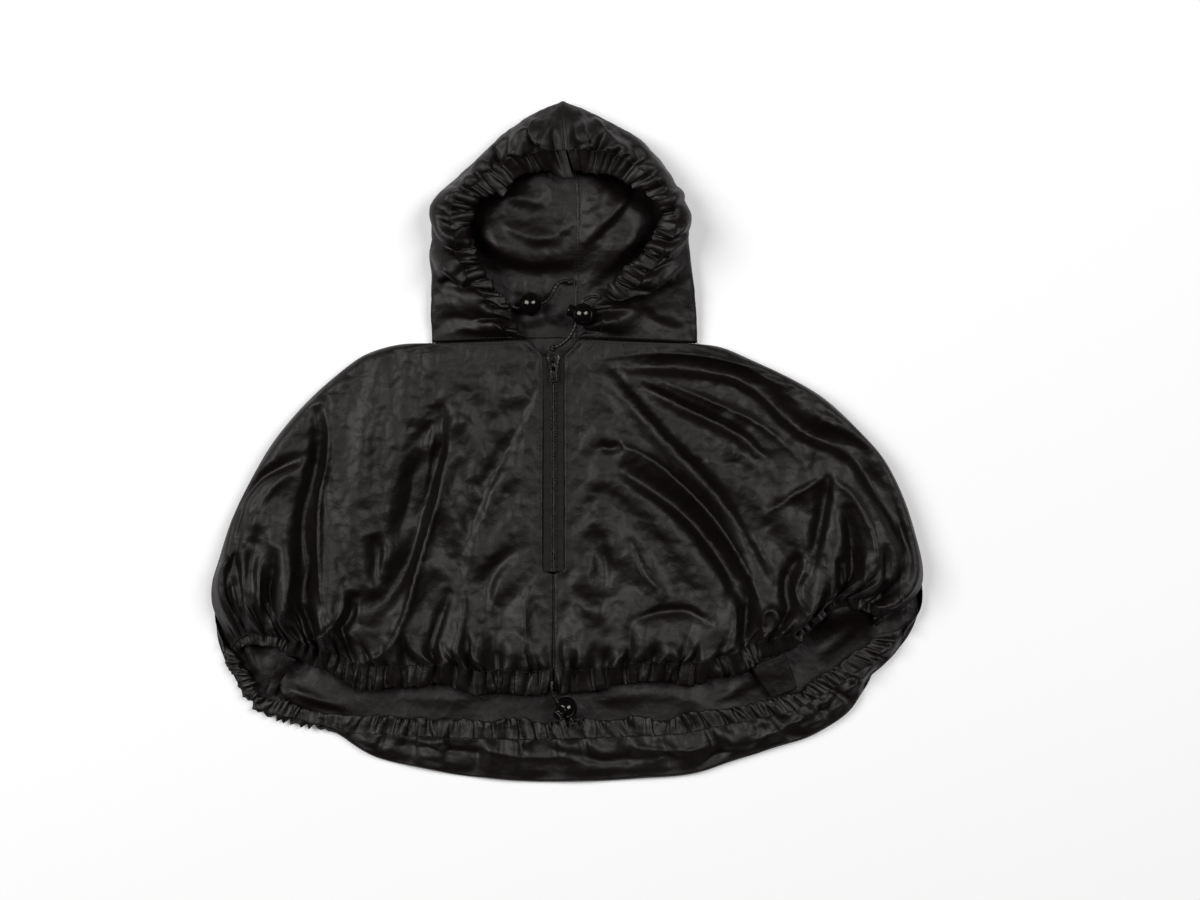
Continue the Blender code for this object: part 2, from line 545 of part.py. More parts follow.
def hood_panel(name, sign, sections, folds, material):
    """Half of the hood, from the seam on the table round the outline to the face casing."""
    fractions = np.linspace(0, 1, HOOD_ROWS)
    rows = rows_along(sections, fractions)
    seam_rows = rows_along(HOOD_SEAM, fractions)
    under_turns, over_turns = (40, 68, 90), (18, 36, 52, 66, 79, 90)
    columns = 2 + len(under_turns) + len(over_turns)
    points = []
    for i, (t, s) in enumerate(zip(rows, seam_rows)):
        row = row_at(sections, t)
        seam = row_at(HOOD_SEAM, s) + (sign * GAP / 2, GAP / 2 if i == 0 else 0)
        outline, stitch = row[:2], row[3:5]
        towards = seam - outline
        contact = outline + towards / np.linalg.norm(towards) * HOOD_FLOOR_INSET
        if i == 0:
            contact[1] = seam[1]
        points += [(*seam, 0.0), (*contact, 0.0)]
        for angle in under_turns:
            turn = math.radians(angle)
            plan = contact + (outline - contact) * math.sin(turn)
            points.append((*plan, row[2] * (1 - math.cos(turn))))
        for angle in over_turns:
            turn = math.radians(angle)
            plan = outline + (stitch - outline) * (1 - math.cos(turn))
            height = row[2] + (row[5] - row[2]) * math.sin(turn)
            strength = math.sin(math.pi * fractions[i]) ** 0.5 * math.sin(turn) ** 2 * (angle < 90)
            rise = fold_height(*plan, folds) + PUCKER * (-1) ** i * (angle > 40)
            points.append((*plan, height + strength * rise))
    stitch_line = np.array([points[i * columns + columns - 1] for i in range(HOOD_ROWS)])
    ends = {i * columns + columns - 1: a for i, a in enumerate(across_path(stitch_line))}
    ends.update({j: (0.0, 1.0) for j in range(columns)})
    ends.update({(HOOD_ROWS - 1) * columns + j: (1.0, 0.0) for j in range(columns)})
    upper = HOOD_ROWS // 2 * columns + columns - 2
    wall(name, points, grid_faces(HOOD_ROWS, columns), upper, ends, [], material)
    return stitch_line, rows


def hood_casing(name, edge_points, rows, sections, material):
    seam, numbers = casing_samples(edge_points, rows, 0, len(sections) - 1)
    free = [row_at(sections, t)[6:9] for t in numbers]
    casing(name, seam, free, material, rise=1.5)


# ---------------------------------------------------------------- straps, zip

def strip(name, path, thickness, material):
    """Flat strip; each row of its path is a left point and a right point."""
    points = []
    for left, right in path:
        points += [left, right, (right[0], right[1], right[2] - thickness),
                   (left[0], left[1], left[2] - thickness)]
    faces = [(0, 1, 2, 3), tuple(4 * (len(path) - 1) + m for m in (3, 2, 1, 0))]
    for k in range(len(path) - 1):
        for m in range(4):
            n = (m + 1) % 4
            faces.append((4 * k + m, 4 * (k + 1) + m, 4 * (k + 1) + n, 4 * k + n))
    return solid(name, points, faces, material)


def zip_pieces():
    """Two tapes with the closed coil between them, on a line that rises to the neck."""
    levels = [(ZIP_BOTTOM, 11.4), (-84, 11.2), (-56, 11.2), (-30, 11.2), (-6, 11.2), (18, 11.4),
              (40, 12.0), (58, 13.0), (ZIP_TOP, 14.2)]
    half = CHAIN_WIDTH / 2
    for side, sign in (("left", -1), ("right", 1)):
        inner, outer = ZIP_X + sign * (half + GAP), ZIP_X + sign * TAPE_HALF
        path = [((inner, y, z), (outer, y, z)) for y, z in levels]
        strip(f"zip_tape_{side}", path, 0.9, finish(f"zip_tape_{side}", (0.012, 0.012, 0.013), 0.7))
    path = [((ZIP_X - half, y, z + 0.6), (ZIP_X + half, y, z + 0.6)) for y, z in levels[:-1]]
    path.append(((ZIP_X - half, 62.0, 13.9), (ZIP_X + half, 62.0, 13.9)))
    strip("zip_chain", path, 2.0, black_plastic("zip_chain"))


def prism(outline, low, high):
    """Bmesh of an upright prism between two heights."""
    data = bmesh.new()
    ring = [data.verts.new((x * MM, y * MM, low * MM)) for x, y in outline]
    top = [data.verts.new((x * MM, y * MM, high * MM)) for x, y in outline]
    data.faces.new(ring[::-1])
    data.faces.new(top)
    for k in range(len(ring)):
        n = (k + 1) % len(ring)
        data.faces.new((ring[k], ring[n], top[n], top[k]))
    return data


def cut_by(piece, cutters, operation="DIFFERENCE"):
    """Boolean with hidden helper objects that stay in the file."""
    for cutter in cutters:
        cutter.hide_render = True
        cutter.display_type = "WIRE"
        boolean = piece.modifiers.new(cutter.name, "BOOLEAN")
        boolean.operation = operation
        boolean.solver = "EXACT"
        boolean.object = cutter


def slider():
    """Zip slider: two plates on a post between the chain halves, and an arch for the tab."""
    material = black_plastic("zip_slider")
    half_top, half_bottom = 5.2, 3.9
    low_y, high_y = SLIDER_Y - 6.5, SLIDER_Y + 6.0
    outline = [(ZIP_X - half_bottom, low_y), (ZIP_X + half_bottom, low_y),
               (ZIP_X + half_bottom, SLIDER_Y - 1), (ZIP_X + half_top, SLIDER_Y + 3),
               (ZIP_X + half_top - 1.2, high_y), (ZIP_X - half_top + 1.2, high_y),
               (ZIP_X - half_top, SLIDER_Y + 3), (ZIP_X - half_bottom, SLIDER_Y - 1)]
    body = add_object("zip_slider", prism(outline, SLIDER_TOP - SLIDER_PLATE, SLIDER_TOP), material, False)
    post = [(ZIP_X - 1.4, SLIDER_Y - 1.5), (ZIP_X + 1.4, SLIDER_Y - 1.5),
            (ZIP_X + 1.8, SLIDER_Y + 4), (ZIP_X - 1.8, SLIDER_Y + 4)]
    lower = add_object("slider_lower_plate", prism(outline, 10.2, 11.2), material, False)
    stem = add_object("slider_post", prism(post, 10.6, SLIDER_TOP - 0.6), material, False)
    arch = add_object("slider_arch", arch_mesh(), material, False)
    cut_by(body, [stem, lower, arch], "UNION")


def arch_mesh():
    """Arch over the pivot, drawn in the plane of the chain and given its width."""
    half_width, leg_in, leg_out = 1.1, 1.7, 3.1
    profile = [(-leg_out, -1.5), (-leg_out, 1.2), (-1.4, 3.4), (1.4, 3.4), (leg_out, 1.2),
               (leg_out, -1.5), (leg_in, -1.5), (leg_in, 0.8), (0.8, 1.9), (-0.8, 1.9),
               (-leg_in, 0.8), (-leg_in, -1.5)]
    data = bmesh.new()
    rings = []
    for x in (ZIP_X - half_width, ZIP_X + half_width):
        rings.append([data.verts.new((x * MM, (PIVOT_Y + y) * MM, (PIVOT_Z + z) * MM))
                      for y, z in profile])
    data.faces.new(rings[0])
    data.faces.new(rings[1][::-1])
    for k in range(len(profile)):
        n = (k + 1) % len(profile)
        data.faces.new((rings[0][n], rings[0][k], rings[1][k], rings[1][n]))
    return data


def pull_tab():
    """Tab hung by its crossbar under the slider's arch; its origin is on the hinge's axis."""
    outer = [(-2.1, 0.7), (2.1, 0.7), (2.5, -4.0), (2.9, -12.6), (2.0, -14.2), (-2.0, -14.2),
             (-2.9, -12.6), (-2.5, -4.0)]
    data = prism(outer, -0.5, 0.5)
    tab = add_object("zip_pull_tab", data, black_plastic("zip_pull_tab"), False)
    window = [(-1.45, -0.6), (1.45, -0.6), (1.6, -5.2), (-1.6, -5.2)]
    grip = [(-1.5, -7.4), (1.5, -7.4), (1.5, -11.6), (-1.5, -11.6)]
    cutters = [add_object("tab_window", prism(window, -1, 1), tab.data.materials[0], False),
               add_object("tab_grip", prism(grip, 0.2, 1), tab.data.materials[0], False)]
    cut_by(tab, cutters)
    for piece in [tab] + cutters:
        piece.location = Vector((ZIP_X, PIVOT_Y, PIVOT_Z)) * MM


# ---------------------------------------------------------------- cords and cord locks

def cord(name, route, material):
    """Round cord along a smooth curve through its hand-placed points."""
    route = np.array(route)
    length = np.linalg.norm(np.diff(route, axis=0), axis=1).sum()
    count = int(length / (2 * CORD_RADIUS * 1.5))
    curve = bpy.data.curves.new(name, "CURVE")
    curve.dimensions = "3D"
    curve.bevel_depth = CORD_RADIUS * MM
    curve.bevel_resolution = 2
    curve.use_fill_caps = True
    spline = curve.splines.new("POLY")
    spline.points.add(count)
    for k in range(count + 1):
        spot = row_at(route, k * (len(route) - 1) / count)
        spline.points[k].co = (*(spot * MM), 1.0)
    curve.materials.append(material)
    piece = bpy.data.objects.new(name, curve)
    bpy.context.scene.collection.objects.link(piece)
    return piece


def turned(name, profile, segments, material, direction, centre):
    """Solid of revolution: profile rows are (distance along the axis, radius)."""
    data = bmesh.new()
    rings = []
    for along, radius in profile:
        rings.append([data.verts.new((radius * math.cos(a) * MM, radius * math.sin(a) * MM,
                                      along * MM))
                      for a in np.linspace(0, 2 * math.pi, segments, endpoint=False)])
    data.faces.new(rings[0])
    data.faces.new(rings[-1][::-1])
    for lower, upper in zip(rings, rings[1:]):
        for k in range(segments):
            n = (k + 1) % segments
            data.faces.new((lower[k], lower[n], upper[n], upper[k]))
    piece = add_object(name, data, material)
    piece.rotation_euler = direction.to_track_quat("Z", "Y").to_euler()
    piece.location = centre * MM
    return piece


def cord_lock(place, route, before, plunger_direction):
    """Ball with a sprung plunger and one hole through both for the cord."""
    name, plunger_name = f"lock_{place}", f"plunger_{place}"
    start, end = Vector(route[before]), Vector(route[before + 1])
    along = (end - start).normalized()
    axis = Vector(plunger_direction)
    axis = (axis - along * axis.dot(along)).normalized()
    hole_centre = (start + end) / 2
    centre = hole_centre - axis * HOLE_OFFSET
    past_ball = BALL_RADIUS + 2.5
    profile = [(-BALL_RADIUS * math.cos(a), BALL_RADIUS * abs(math.sin(a))) for a in
               np.linspace(math.radians(9), math.pi - math.acos(BALL_MOUTH / BALL_RADIUS), 9)]
    ball = turned(name, profile, 16, black_plastic(name), axis, centre)
    bore = PLUNGER_RADIUS + SOCKET_SLACK
    socket = turned(f"{name}_socket", [(SOCKET_FLOOR, bore), (past_ball, bore)],
                    16, ball.data.materials[0], axis, centre)
    hole = turned(f"{name}_hole", [(-past_ball, HOLE_RADIUS), (past_ball, HOLE_RADIUS)],
                  12, ball.data.materials[0], along, hole_centre)
    cut_by(ball, [socket, hole])
    profile = [(PLUNGER_FOOT, PLUNGER_RADIUS), (PLUNGER_TOP - 0.9, PLUNGER_RADIUS),
               (PLUNGER_TOP - 0.2, PLUNGER_RADIUS - 0.7), (PLUNGER_TOP, PLUNGER_RADIUS - 1.6)]
    plunger = turned(plunger_name, profile, 16, black_plastic(plunger_name), axis, centre)
    slot_data = bmesh.new()
    bmesh.ops.create_cube(slot_data, size=1.0)
    slot = add_object(f"{plunger_name}_slot", slot_data, ball.data.materials[0], False)
    middle = centre + axis * (HOLE_OFFSET + PLUNGER_TRAVEL / 2)
    side = axis.cross(along)
    slot.matrix_world = (Matrix.Translation(middle * MM)
                         @ Matrix((along, side, axis)).transposed().to_4x4()
                         @ Matrix.Diagonal((3 * PLUNGER_RADIUS * MM, 2 * HOLE_RADIUS * MM,
                                            (2 * HOLE_RADIUS + PLUNGER_TRAVEL) * MM, 1.0)))
    cut_by(plunger, [slot])


def knot(name, route, material):
    """Knot round the cord a little before its end: a short fat ring."""
    end, before = Vector(route[-1]), Vector(route[-2])
    direction = (end - before).normalized()
    centre = end - direction * KNOT_SETBACK
    inner, outer = CORD_RADIUS + 0.3, CORD_RADIUS + 1.9
    profile = [(-2.0, inner), (-2.0, outer - 0.7), (-0.8, outer), (0.8, outer),
               (2.0, outer - 0.7), (2.0, inner)]
    data = bmesh.new()
    rings = [[data.verts.new((r * math.cos(a) * MM, r * math.sin(a) * MM, h * MM))
              for a in np.linspace(0, 2 * math.pi, KNOT_SIDES, endpoint=False)]
             for h, r in profile]
    for lower, upper in zip(rings, rings[1:] + rings[:1]):
        for k in range(KNOT_SIDES):
            n = (k + 1) % KNOT_SIDES
            data.faces.new((lower[k], lower[n], upper[n], upper[k]))
    piece = add_object(name, data, material)
    piece.rotation_euler = direction.to_track_quat("Z", "Y").to_euler()
    piece.location = centre * MM


def build():
    for leftover in list(bpy.data.objects):
        bpy.data.objects.remove(leftover, do_unlink=True)
    edge, rows = front_panel("front_left", -1, SIDE_LEFT, HEM_FRONT_LEFT, FOLDS_LEFT,
                             nylon("front_left"))
    front_casings("left", edge, rows, HEM_FRONT_LEFT, STRAP_ROW_LEFT)
    edge, rows = front_panel("front_right", 1, SIDE_RIGHT, HEM_FRONT_RIGHT, FOLDS_RIGHT,
                             nylon("front_right"))
    front_casings("right", edge, rows, HEM_FRONT_RIGHT, STRAP_ROW_RIGHT)
    edge, rows = back_panel(nylon("back_panel"))
    back_casings(edge, rows)
    for side, sign, sections, folds in (("left", -1, HOOD_LEFT, FOLDS_HOOD_LEFT),
                                        ("right", 1, HOOD_RIGHT, FOLDS_HOOD_RIGHT)):
        edge, rows = hood_panel(f"hood_{side}", sign, sections, folds, nylon(f"hood_{side}"))
        hood_casing(f"hood_casing_{side}", edge, rows, sections, nylon(f"hood_casing_{side}"))
    for name, path in STRAPS.items():
        strip(name, path, CLOTH, nylon(name))
    zip_pieces()
    slider()
    pull_tab()
    for name, route in (("hood_left", CORD_HOOD_LEFT), ("hood_right", CORD_HOOD_RIGHT),
                        ("hem", CORD_HEM)):
        cord(f"cord_{name}", route, finish(f"cord_{name}", (0.012, 0.012, 0.012), 0.6))
        knot(f"knot_{name}", route, finish(f"knot_{name}", (0.012, 0.012, 0.012), 0.6))
    for row in LOCKS:
        cord_lock(*row)


build()
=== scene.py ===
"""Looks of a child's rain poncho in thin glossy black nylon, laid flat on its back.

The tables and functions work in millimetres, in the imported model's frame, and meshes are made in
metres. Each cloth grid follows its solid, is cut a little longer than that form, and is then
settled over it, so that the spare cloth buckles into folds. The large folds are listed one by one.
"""
import math
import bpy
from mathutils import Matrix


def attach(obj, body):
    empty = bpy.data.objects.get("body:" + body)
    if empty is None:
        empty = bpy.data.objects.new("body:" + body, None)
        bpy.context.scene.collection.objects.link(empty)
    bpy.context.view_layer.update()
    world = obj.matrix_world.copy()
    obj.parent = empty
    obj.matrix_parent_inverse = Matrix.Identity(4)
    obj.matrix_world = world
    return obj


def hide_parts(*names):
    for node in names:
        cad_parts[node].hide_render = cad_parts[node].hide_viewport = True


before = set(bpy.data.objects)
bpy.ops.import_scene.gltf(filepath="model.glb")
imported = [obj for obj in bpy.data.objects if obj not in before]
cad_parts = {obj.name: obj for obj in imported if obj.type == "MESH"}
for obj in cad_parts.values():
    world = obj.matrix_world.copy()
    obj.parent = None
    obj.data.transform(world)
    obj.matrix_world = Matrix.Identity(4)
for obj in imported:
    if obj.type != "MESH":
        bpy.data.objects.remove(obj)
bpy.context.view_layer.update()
from types import SimpleNamespace

import bmesh
import bpy
import numpy as np
from mathutils import Matrix, Vector

SCENE = bpy.context.scene
MM = 0.001

# ---------------------------------------------------------------- camera

PHOTO_SIZE = (1200, 900)
MM_PER_PIXEL = 0.83
ORIGIN_PIXEL = (567.5, 441.0)     # where the photo shows the frame's x = 0, y = 0
CAMERA_HEIGHT = 2300.0
SUBJECT_HEIGHT = 15.0             # the level that the scale above holds for


def make_camera():
    """Long lens straight above the middle of the photo's frame."""
    data = bpy.data.cameras.new("camera")
    data.sensor_width = 36.0
    data.lens = data.sensor_width * (CAMERA_HEIGHT - SUBJECT_HEIGHT) / (PHOTO_SIZE[0] * MM_PER_PIXEL)
    data.clip_end = 50.0
    camera = bpy.data.objects.new("camera", data)
    x = (PHOTO_SIZE[0] / 2 - ORIGIN_PIXEL[0]) * MM_PER_PIXEL
    y = (ORIGIN_PIXEL[1] - PHOTO_SIZE[1] / 2) * MM_PER_PIXEL
    camera.location = Vector((x, y, CAMERA_HEIGHT)) * MM
    SCENE.collection.objects.link(camera)
    SCENE.camera = camera


make_camera()

# ---------------------------------------------------------------- sizes, as in the solids

CLOTH = 0.3             # thickness of the nylon as drawn
ZIP_X = -11.6
TAPE_HALF = 8.6
CHAIN_HALF = 3.0
ZIP_TOP = 70.0
ZIP_BOTTOM = -108.0
SEAM_HALF = 0.2
RIM_RADIUS = 18.0
SLIDER_Y = 66.0
SLIDER_TOP = 17.0
PIVOT_Y = 62.6
PIVOT_Z = SLIDER_TOP + 1.2
CORD_RADIUS = 1.5
KNOT_SETBACK = 3.4
BALL_RADIUS = 9.5
BALL_MOUTH = 7.6
PLUNGER_RADIUS = 5.0
PLUNGER_TOP = 13.2
PLUNGER_TRAVEL = 2.5
HOLE_OFFSET = 3.2
HOLE_RADIUS = 2.3
HOOD_FLOOR_INSET = 8.0
BAND_X = (-36, 16)        # ends of the seam allowance across the back of the neck
BAND_Y = 68.0
BAND_WIDTH = 18.5

# Left side seam, from the neck to the arm opening; seam_z is the height where front meets back.
SIDE_LEFT = [
    # x, y, seam_z
    (-113, 81.2, 6), (-139, 80.6, 6), (-164, 73.8, 6.5), (-183, 62.3, 7),
    (-215.4, 34, 7.5), (-243.6, 0.8, 8), (-263.5, -32.4, 8.5), (-279.3, -65.6, 9),
    (-290, -98.8, 9), (-295.6, -118, 8.5), (-295.6, -136, 8), (-289, -153, 7),
]
SIDE_RIGHT = [
    (108, 80.8, 6), (128.2, 78, 6), (153.9, 67.2, 6.5), (188.8, 50.6, 7),
    (215.4, 34, 7.5), (242, 9, 8), (263.5, -15.8, 8.5), (280.1, -49, 9),
    (291, -84, 9.5), (295.6, -108, 9.5), (293, -124, 9.5), (281.5, -137, 10),
]
# Front hem and upper side of the arm opening, from the centre outwards.
HEM_FRONT_LEFT = [
    # stitch_x, stitch_y, stitch_z, edge_x, edge_y, edge_z
    (-12.1, -190, 12, -12.1, -208, 11), (-31, -193, 12.2, -33, -211, 11),
    (-52, -191, 12.4, -54, -208.5, 11.2), (-73, -192, 12.6, -74, -211, 11.4),
    (-93, -188, 13, -94, -205.5, 11.6), (-114, -187, 13.2, -115, -203.5, 11.8),
    (-143, -188, 13.4, -144, -206, 11.8), (-172, -187, 14, -173, -205, 12),
    (-197, -176, 15, -201, -192, 12.6), (-217, -166, 16, -222, -182, 13.4),
    (-228, -161, 16.8, -234, -177.5, 14.2), (-244, -156, 18, -246, -171.5, 15.8),
    (-260, -154.5, 17.5, -258, -170, 15.6), (-273, -158.5, 14.5, -267.5, -172, 13),
    (-282.6, -168.6, 8, -273.6, -178, 8),
]
HEM_FRONT_RIGHT = [
    (-11.1, -190, 12, -11.1, -208, 11), (6, -191, 12, 6, -208.5, 11),
    (27, -190, 12.2, 27, -206, 11.2), (48, -186, 12.6, 48, -201.5, 11.4),
    (72, -184.5, 13, 72, -200.5, 11.6), (95, -186, 13.4, 95, -203, 11.8),
    (118, -182.5, 14, 121, -198.5, 12.2), (140, -176, 15, 146, -191, 12.8),
    (156, -168, 15.6, 162, -182, 13.4), (172, -162, 16.2, 177, -177.5, 14),
    (184, -156, 17, 191, -171, 14.8), (197, -144, 18.4, 205.5, -156, 16.2),
    (211, -130.5, 19.4, 217, -143.5, 17), (230, -124.5, 19.6, 231, -139.5, 17.2),
    (249, -127, 17.4, 245, -142, 15.4), (262, -134, 14.4, 252.5, -148.5, 12.6),
    (267.6, -145.4, 11.4, 254.6, -156.4, 9.6),
]
STRAP_ROW = 10            # hem row where the strap leaves and the arm opening begins
STRAP_THICKNESS = 0.7     # folded double
CUFF_NARROWER = 0.42      # share of its width that the casing of the arm opening loses
# Straps from the front hem down to the back hem: rows of a left and a right point.
STRAPS = {
    "strap_left": [((-236.4, -177.6, 13.2), (-225.5, -182, 12.6)),
                   ((-245, -194, 9), (-236.6, -197, 8.8)),
                   ((-251.4, -210, 5.8), (-246.4, -213.2, 5.8))],
    "strap_right": [((152.4, -188.5, 12.2), (180.4, -177, 13.4)),
                    ((160.6, -202, 10), (186.4, -191, 10.6)),
                    ((168.8, -214.1, 7.8), (191.1, -205.8, 8))],
}
# Lower edge of the back, left to right: the outline, and the free edge of the rolled-up hem.
HEM_BACK = [
    # outline_x, outline_y, outline_z, edge_x, edge_y, edge_z
    (-286.2, -169.6, 5.6, -276, -179.2, 7.2), (-283.4, -184, 4.4, -273, -187, 7),
    (-275, -199, 3.6, -267, -198.6, 7), (-264.6, -214.6, 3.4, -259, -210, 7),
    (-250, -227, 3.4, -245, -218.6, 6.8), (-230, -233.4, 3.4, -226, -221.4, 6.2),
    (-207, -239, 3.4, -205, -225.8, 6.4), (-189, -245, 3.4, -182, -228.6, 6.6),
    (-158, -262.3, 3.5, -148, -230, 6.8), (-108, -274.4, 3.6, -105.8, -231.6, 7),
    (-55, -281.2, 3.6, -56, -233.2, 7), (2, -282.9, 3.6, -6.2, -233.2, 7),
    (58, -280.2, 3.6, 43.6, -231.6, 7), (103.3, -275.6, 3.8, 86, -230, 7.2),
    (137, -265, 4, 118, -224.4, 7.4), (170, -254.6, 4.2, 147, -219.2, 7.8),
    (203, -243.6, 4.2, 176.4, -213.6, 8.2), (231, -226.2, 4.4, 200, -202.6, 8.6),
    (248, -204, 4.6, 221, -189.4, 9), (262, -187.6, 5, 238, -177.8, 9.2),
    (274.6, -172, 5.6, 250.4, -167.4, 9.4), (281.2, -156, 6.4, 255.6, -161.8, 9.4),
]
# Crest height of the fronts: rows from neck to hem, columns from the centre to the side seam.
CREST_ROWS = (0, 0.2, 0.45, 0.7, 0.88, 1)
CREST_COLUMNS = (0, 0.15, 0.35, 0.6, 0.85, 1)
CREST = [
    (13.6, 13.8, 14.2, 14.6, 14.6, 13),
    (12.4, 14.5, 17, 18, 18, 17),
    (12, 15, 18, 22, 24, 24),
    (12, 14.5, 18, 22, 24.5, 24),
    (12, 14, 16.5, 19.5, 21.5, 20),
]

# Sections of the hood from the neck up to the centre seam over the peak.
HOOD_LEFT = [
    # outline_x, outline_y, outline_z, stitch_x, stitch_y, stitch_z, edge_x, edge_y, edge_z
    (-113, 82, 6, -46, 84.6, 13.6, -32.6, 85, 13.2),
    (-113.2, 105, 9, -58, 104, 16.5, -44.5, 102, 15),
    (-112.6, 130, 12, -71, 124, 22, -56, 121, 19.5),
    (-111, 156, 14, -87, 147, 29, -72, 148, 26.5),
    (-106.8, 184, 15, -95, 173, 33, -82, 176, 30),
    (-101, 202, 15, -91, 198, 34, -78, 196, 31),
    (-84, 221, 15, -74, 213, 34, -61, 203.4, 31),
    (-62, 244.5, 14, -54, 226, 32, -42, 213, 29),
    (-36, 264, 13, -30, 235, 30, -21, 219, 27),
    (-4.4, 282.4, 12, -1, 239.6, 28, 5, 217, 25),
]
HOOD_RIGHT = [
    (108, 81.6, 6, 24, 85.2, 13.6, 10.4, 85.6, 13.2),
    (107.2, 105, 9, 31, 106, 16, 17.4, 104.4, 14.6),
    (105, 126, 12, 41, 121.6, 20.5, 27, 122.6, 18),
    (102.2, 148, 14, 58, 131, 27, 45, 138.4, 24.5),
    (99.6, 168, 15, 77, 152, 31, 63, 160, 28),
    (97, 190, 15, 88.4, 178, 33.5, 76, 181, 30.5),
    (91.6, 208, 15, 83, 201, 34, 70, 197, 31),
    (78, 226, 14, 66, 219, 33, 53, 209, 30),
    (52, 254.4, 13, 36, 235, 31, 30, 219.6, 28),
    (-3.6, 282.4, 12, -0.2, 239.6, 28, 5.8, 217, 25),
]
# Seam of the hood's back, on the table from the neck to the peak.
HOOD_SEAM = [(6, 81.6), (7, 120), (8.6, 170), (7.4, 216), (-3, 267)]
# Cord routes: listed points from the buttonhole to the knotted end.
CORD_HOOD_LEFT = [
    (-51.6, 117.2, 17.8), (-47.2, 112.6, 15), (-40.7, 110.3, 13.1), (-33.9, 111.8, 12.8),
    (-27.1, 113.4, 12.4), (-20.3, 114.9, 12.1), (-15.6, 118.6, 9), (-12.4, 124, 6.2),
    (-9, 129.6, 5.2), (-4.6, 133, 5.2), (0.4, 133.2, 5.2), (5.4, 131.6, 5.2),
]
CORD_HOOD_RIGHT = [
    (25.4, 119, 21.4), (19.4, 119.2, 23.6), (13, 115.6, 24.9), (10.9, 108.9, 24.2),
    (8.8, 102.3, 23.6), (6.7, 95.6, 22.9), (4.2, 89.6, 21.8), (0.4, 84.4, 20.4),
    (-4.4, 80.6, 19.2), (-9.6, 77.9, 18.4), (-15, 76, 18),
]
CORD_HEM = [
    (-12.6, -198.6, 15), (-13, -204, 15.4), (-12.4, -210.4, 14.4), (-9.3, -215.2, 13.4),
    (-5, -220.7, 13.4), (-0.8, -226.3, 13.4), (3.5, -231.8, 13.4), (7.2, -237.4, 14.2),
]
# Round cord locks: the route's point before the lock's hole and the way the plunger points.
LOCKS = [
    # name, route, point_before_hole, plunger_direction
    ("hood_left", CORD_HOOD_LEFT, 3, (0.10, -0.42, -0.90)),
    ("hood_right", CORD_HOOD_RIGHT, 3, (-0.95, 0.30, 0.06)),
    ("hem", CORD_HEM, 4, (-0.52, -0.40, 0.75)),
]

# ---------------------------------------------------------------- curves, paths and noise

def spline(table, places):
    """Smooth values of a table at row numbers."""
    table = np.array(table, float)
    places = np.asarray(places, float)
    last = len(table) - 1
    i = np.clip(np.floor(places).astype(int), 0, last - 1)
    f = (places - i)[:, None]
    a, b, c, d = (table[np.clip(i + k, 0, last)] for k in (-1, 0, 1, 2))
    return 0.5 * (2 * b + (c - a) * f + (2 * a - 5 * b + 4 * c - d) * f ** 2
                  + (3 * b - a - 3 * c + d) * f ** 3)


def run_length(points):
    """Distance along a path at each of its points."""
    steps = np.linalg.norm(np.diff(points, axis=0), axis=1)
    return np.concatenate([[0.0], np.cumsum(steps)])


def run_down(grid):
    """Distance down each column of a grid from its first row."""
    steps = np.linalg.norm(np.diff(grid, axis=0), axis=2)
    return np.concatenate([np.zeros((1, grid.shape[1])), np.cumsum(steps, axis=0)])


def run_across(grid):
    """Distance along each row of a grid from its first column."""
    return run_down(grid.transpose(1, 0, 2)).T


def rows_along(table, fractions):
    """Row numbers at fractions of a table's plan length."""
    fine = np.linspace(0, len(table) - 1, 40 * (len(table) - 1) + 1)
    length = run_length(spline(table, fine)[:, :2])
    return np.interp(np.asarray(fractions) * length[-1], length, fine)


def resampled(points, known, wanted):
    """A path at the wanted places along it; known has the places of its points."""
    return np.column_stack([np.interp(wanted, known, column) for column in points.T])


def even_path(points, step):
    """The path's points again, step apart."""
    points = np.asarray(points, float)
    length = run_length(points)
    count = max(2, int(round(length[-1] / step)) + 1)
    places = np.linspace(0, length[-1], count)
    return resampled(points, length, places)


def unit(vectors):
    return vectors / np.maximum(np.linalg.norm(vectors, axis=-1, keepdims=True), 1e-9)


def plan_across(points):
    """Unit directions in plan, square to a path, to its left."""
    along = unit(np.gradient(points[:, :2], axis=0))
    return np.column_stack([-along[:, 1], along[:, 0]])


def patch(top, bottom, left, right, us, vs):
    """Plan grid between four edges: top and bottom run along us, left and right along vs."""
    u, v = us[None, :, None], vs[:, None, None]
    corners = ((1 - u) * (1 - v) * left[0] + u * (1 - v) * right[0]
               + (1 - u) * v * left[-1] + u * v * right[-1])
    return (1 - v) * top + v * bottom + (1 - u) * left[:, None] + u * right[:, None] - corners


def smoothstep(x, low, high):
    f = np.clip((x - low) / (high - low), 0, 1)
    return f * f * (3 - 2 * f)


def scatter(ix, iy, seed):
    """A fixed random number from 0 to 1 for each whole-number place."""
    h = (ix.astype(np.int64) * 73856093) ^ (iy.astype(np.int64) * 19349663) ^ (seed * 83492791)
    h = ((h ^ (h >> 13)) * 1274126177) & 0x7FFFFFFF
    h = ((h ^ (h >> 15)) * 1103515245) & 0x7FFFFFFF
    return ((h >> 8) & 0xFFFF) / 65535.0


def soft_noise(x, y, size, seed):
    """Smooth noise from -1 to 1 with bumps of about the given size."""
    x, y = x / size, y / size
    ix, iy = np.floor(x), np.floor(y)
    fx, fy = smoothstep(x - ix, 0, 1), smoothstep(y - iy, 0, 1)
    corners = [[scatter(ix + a, iy + b, seed) for b in (0, 1)] for a in (0, 1)]
    low = corners[0][0] * (1 - fx) + corners[1][0] * fx
    high = corners[0][1] * (1 - fx) + corners[1][1] * fx
    return 2 * (low * (1 - fy) + high * fy) - 1


def patches(x, y, size, seed, low=-0.8, high=0.7):
    """Soft patches of about the given size, from 0 to 1."""
    return smoothstep(soft_noise(x, y, size, seed), low, high)


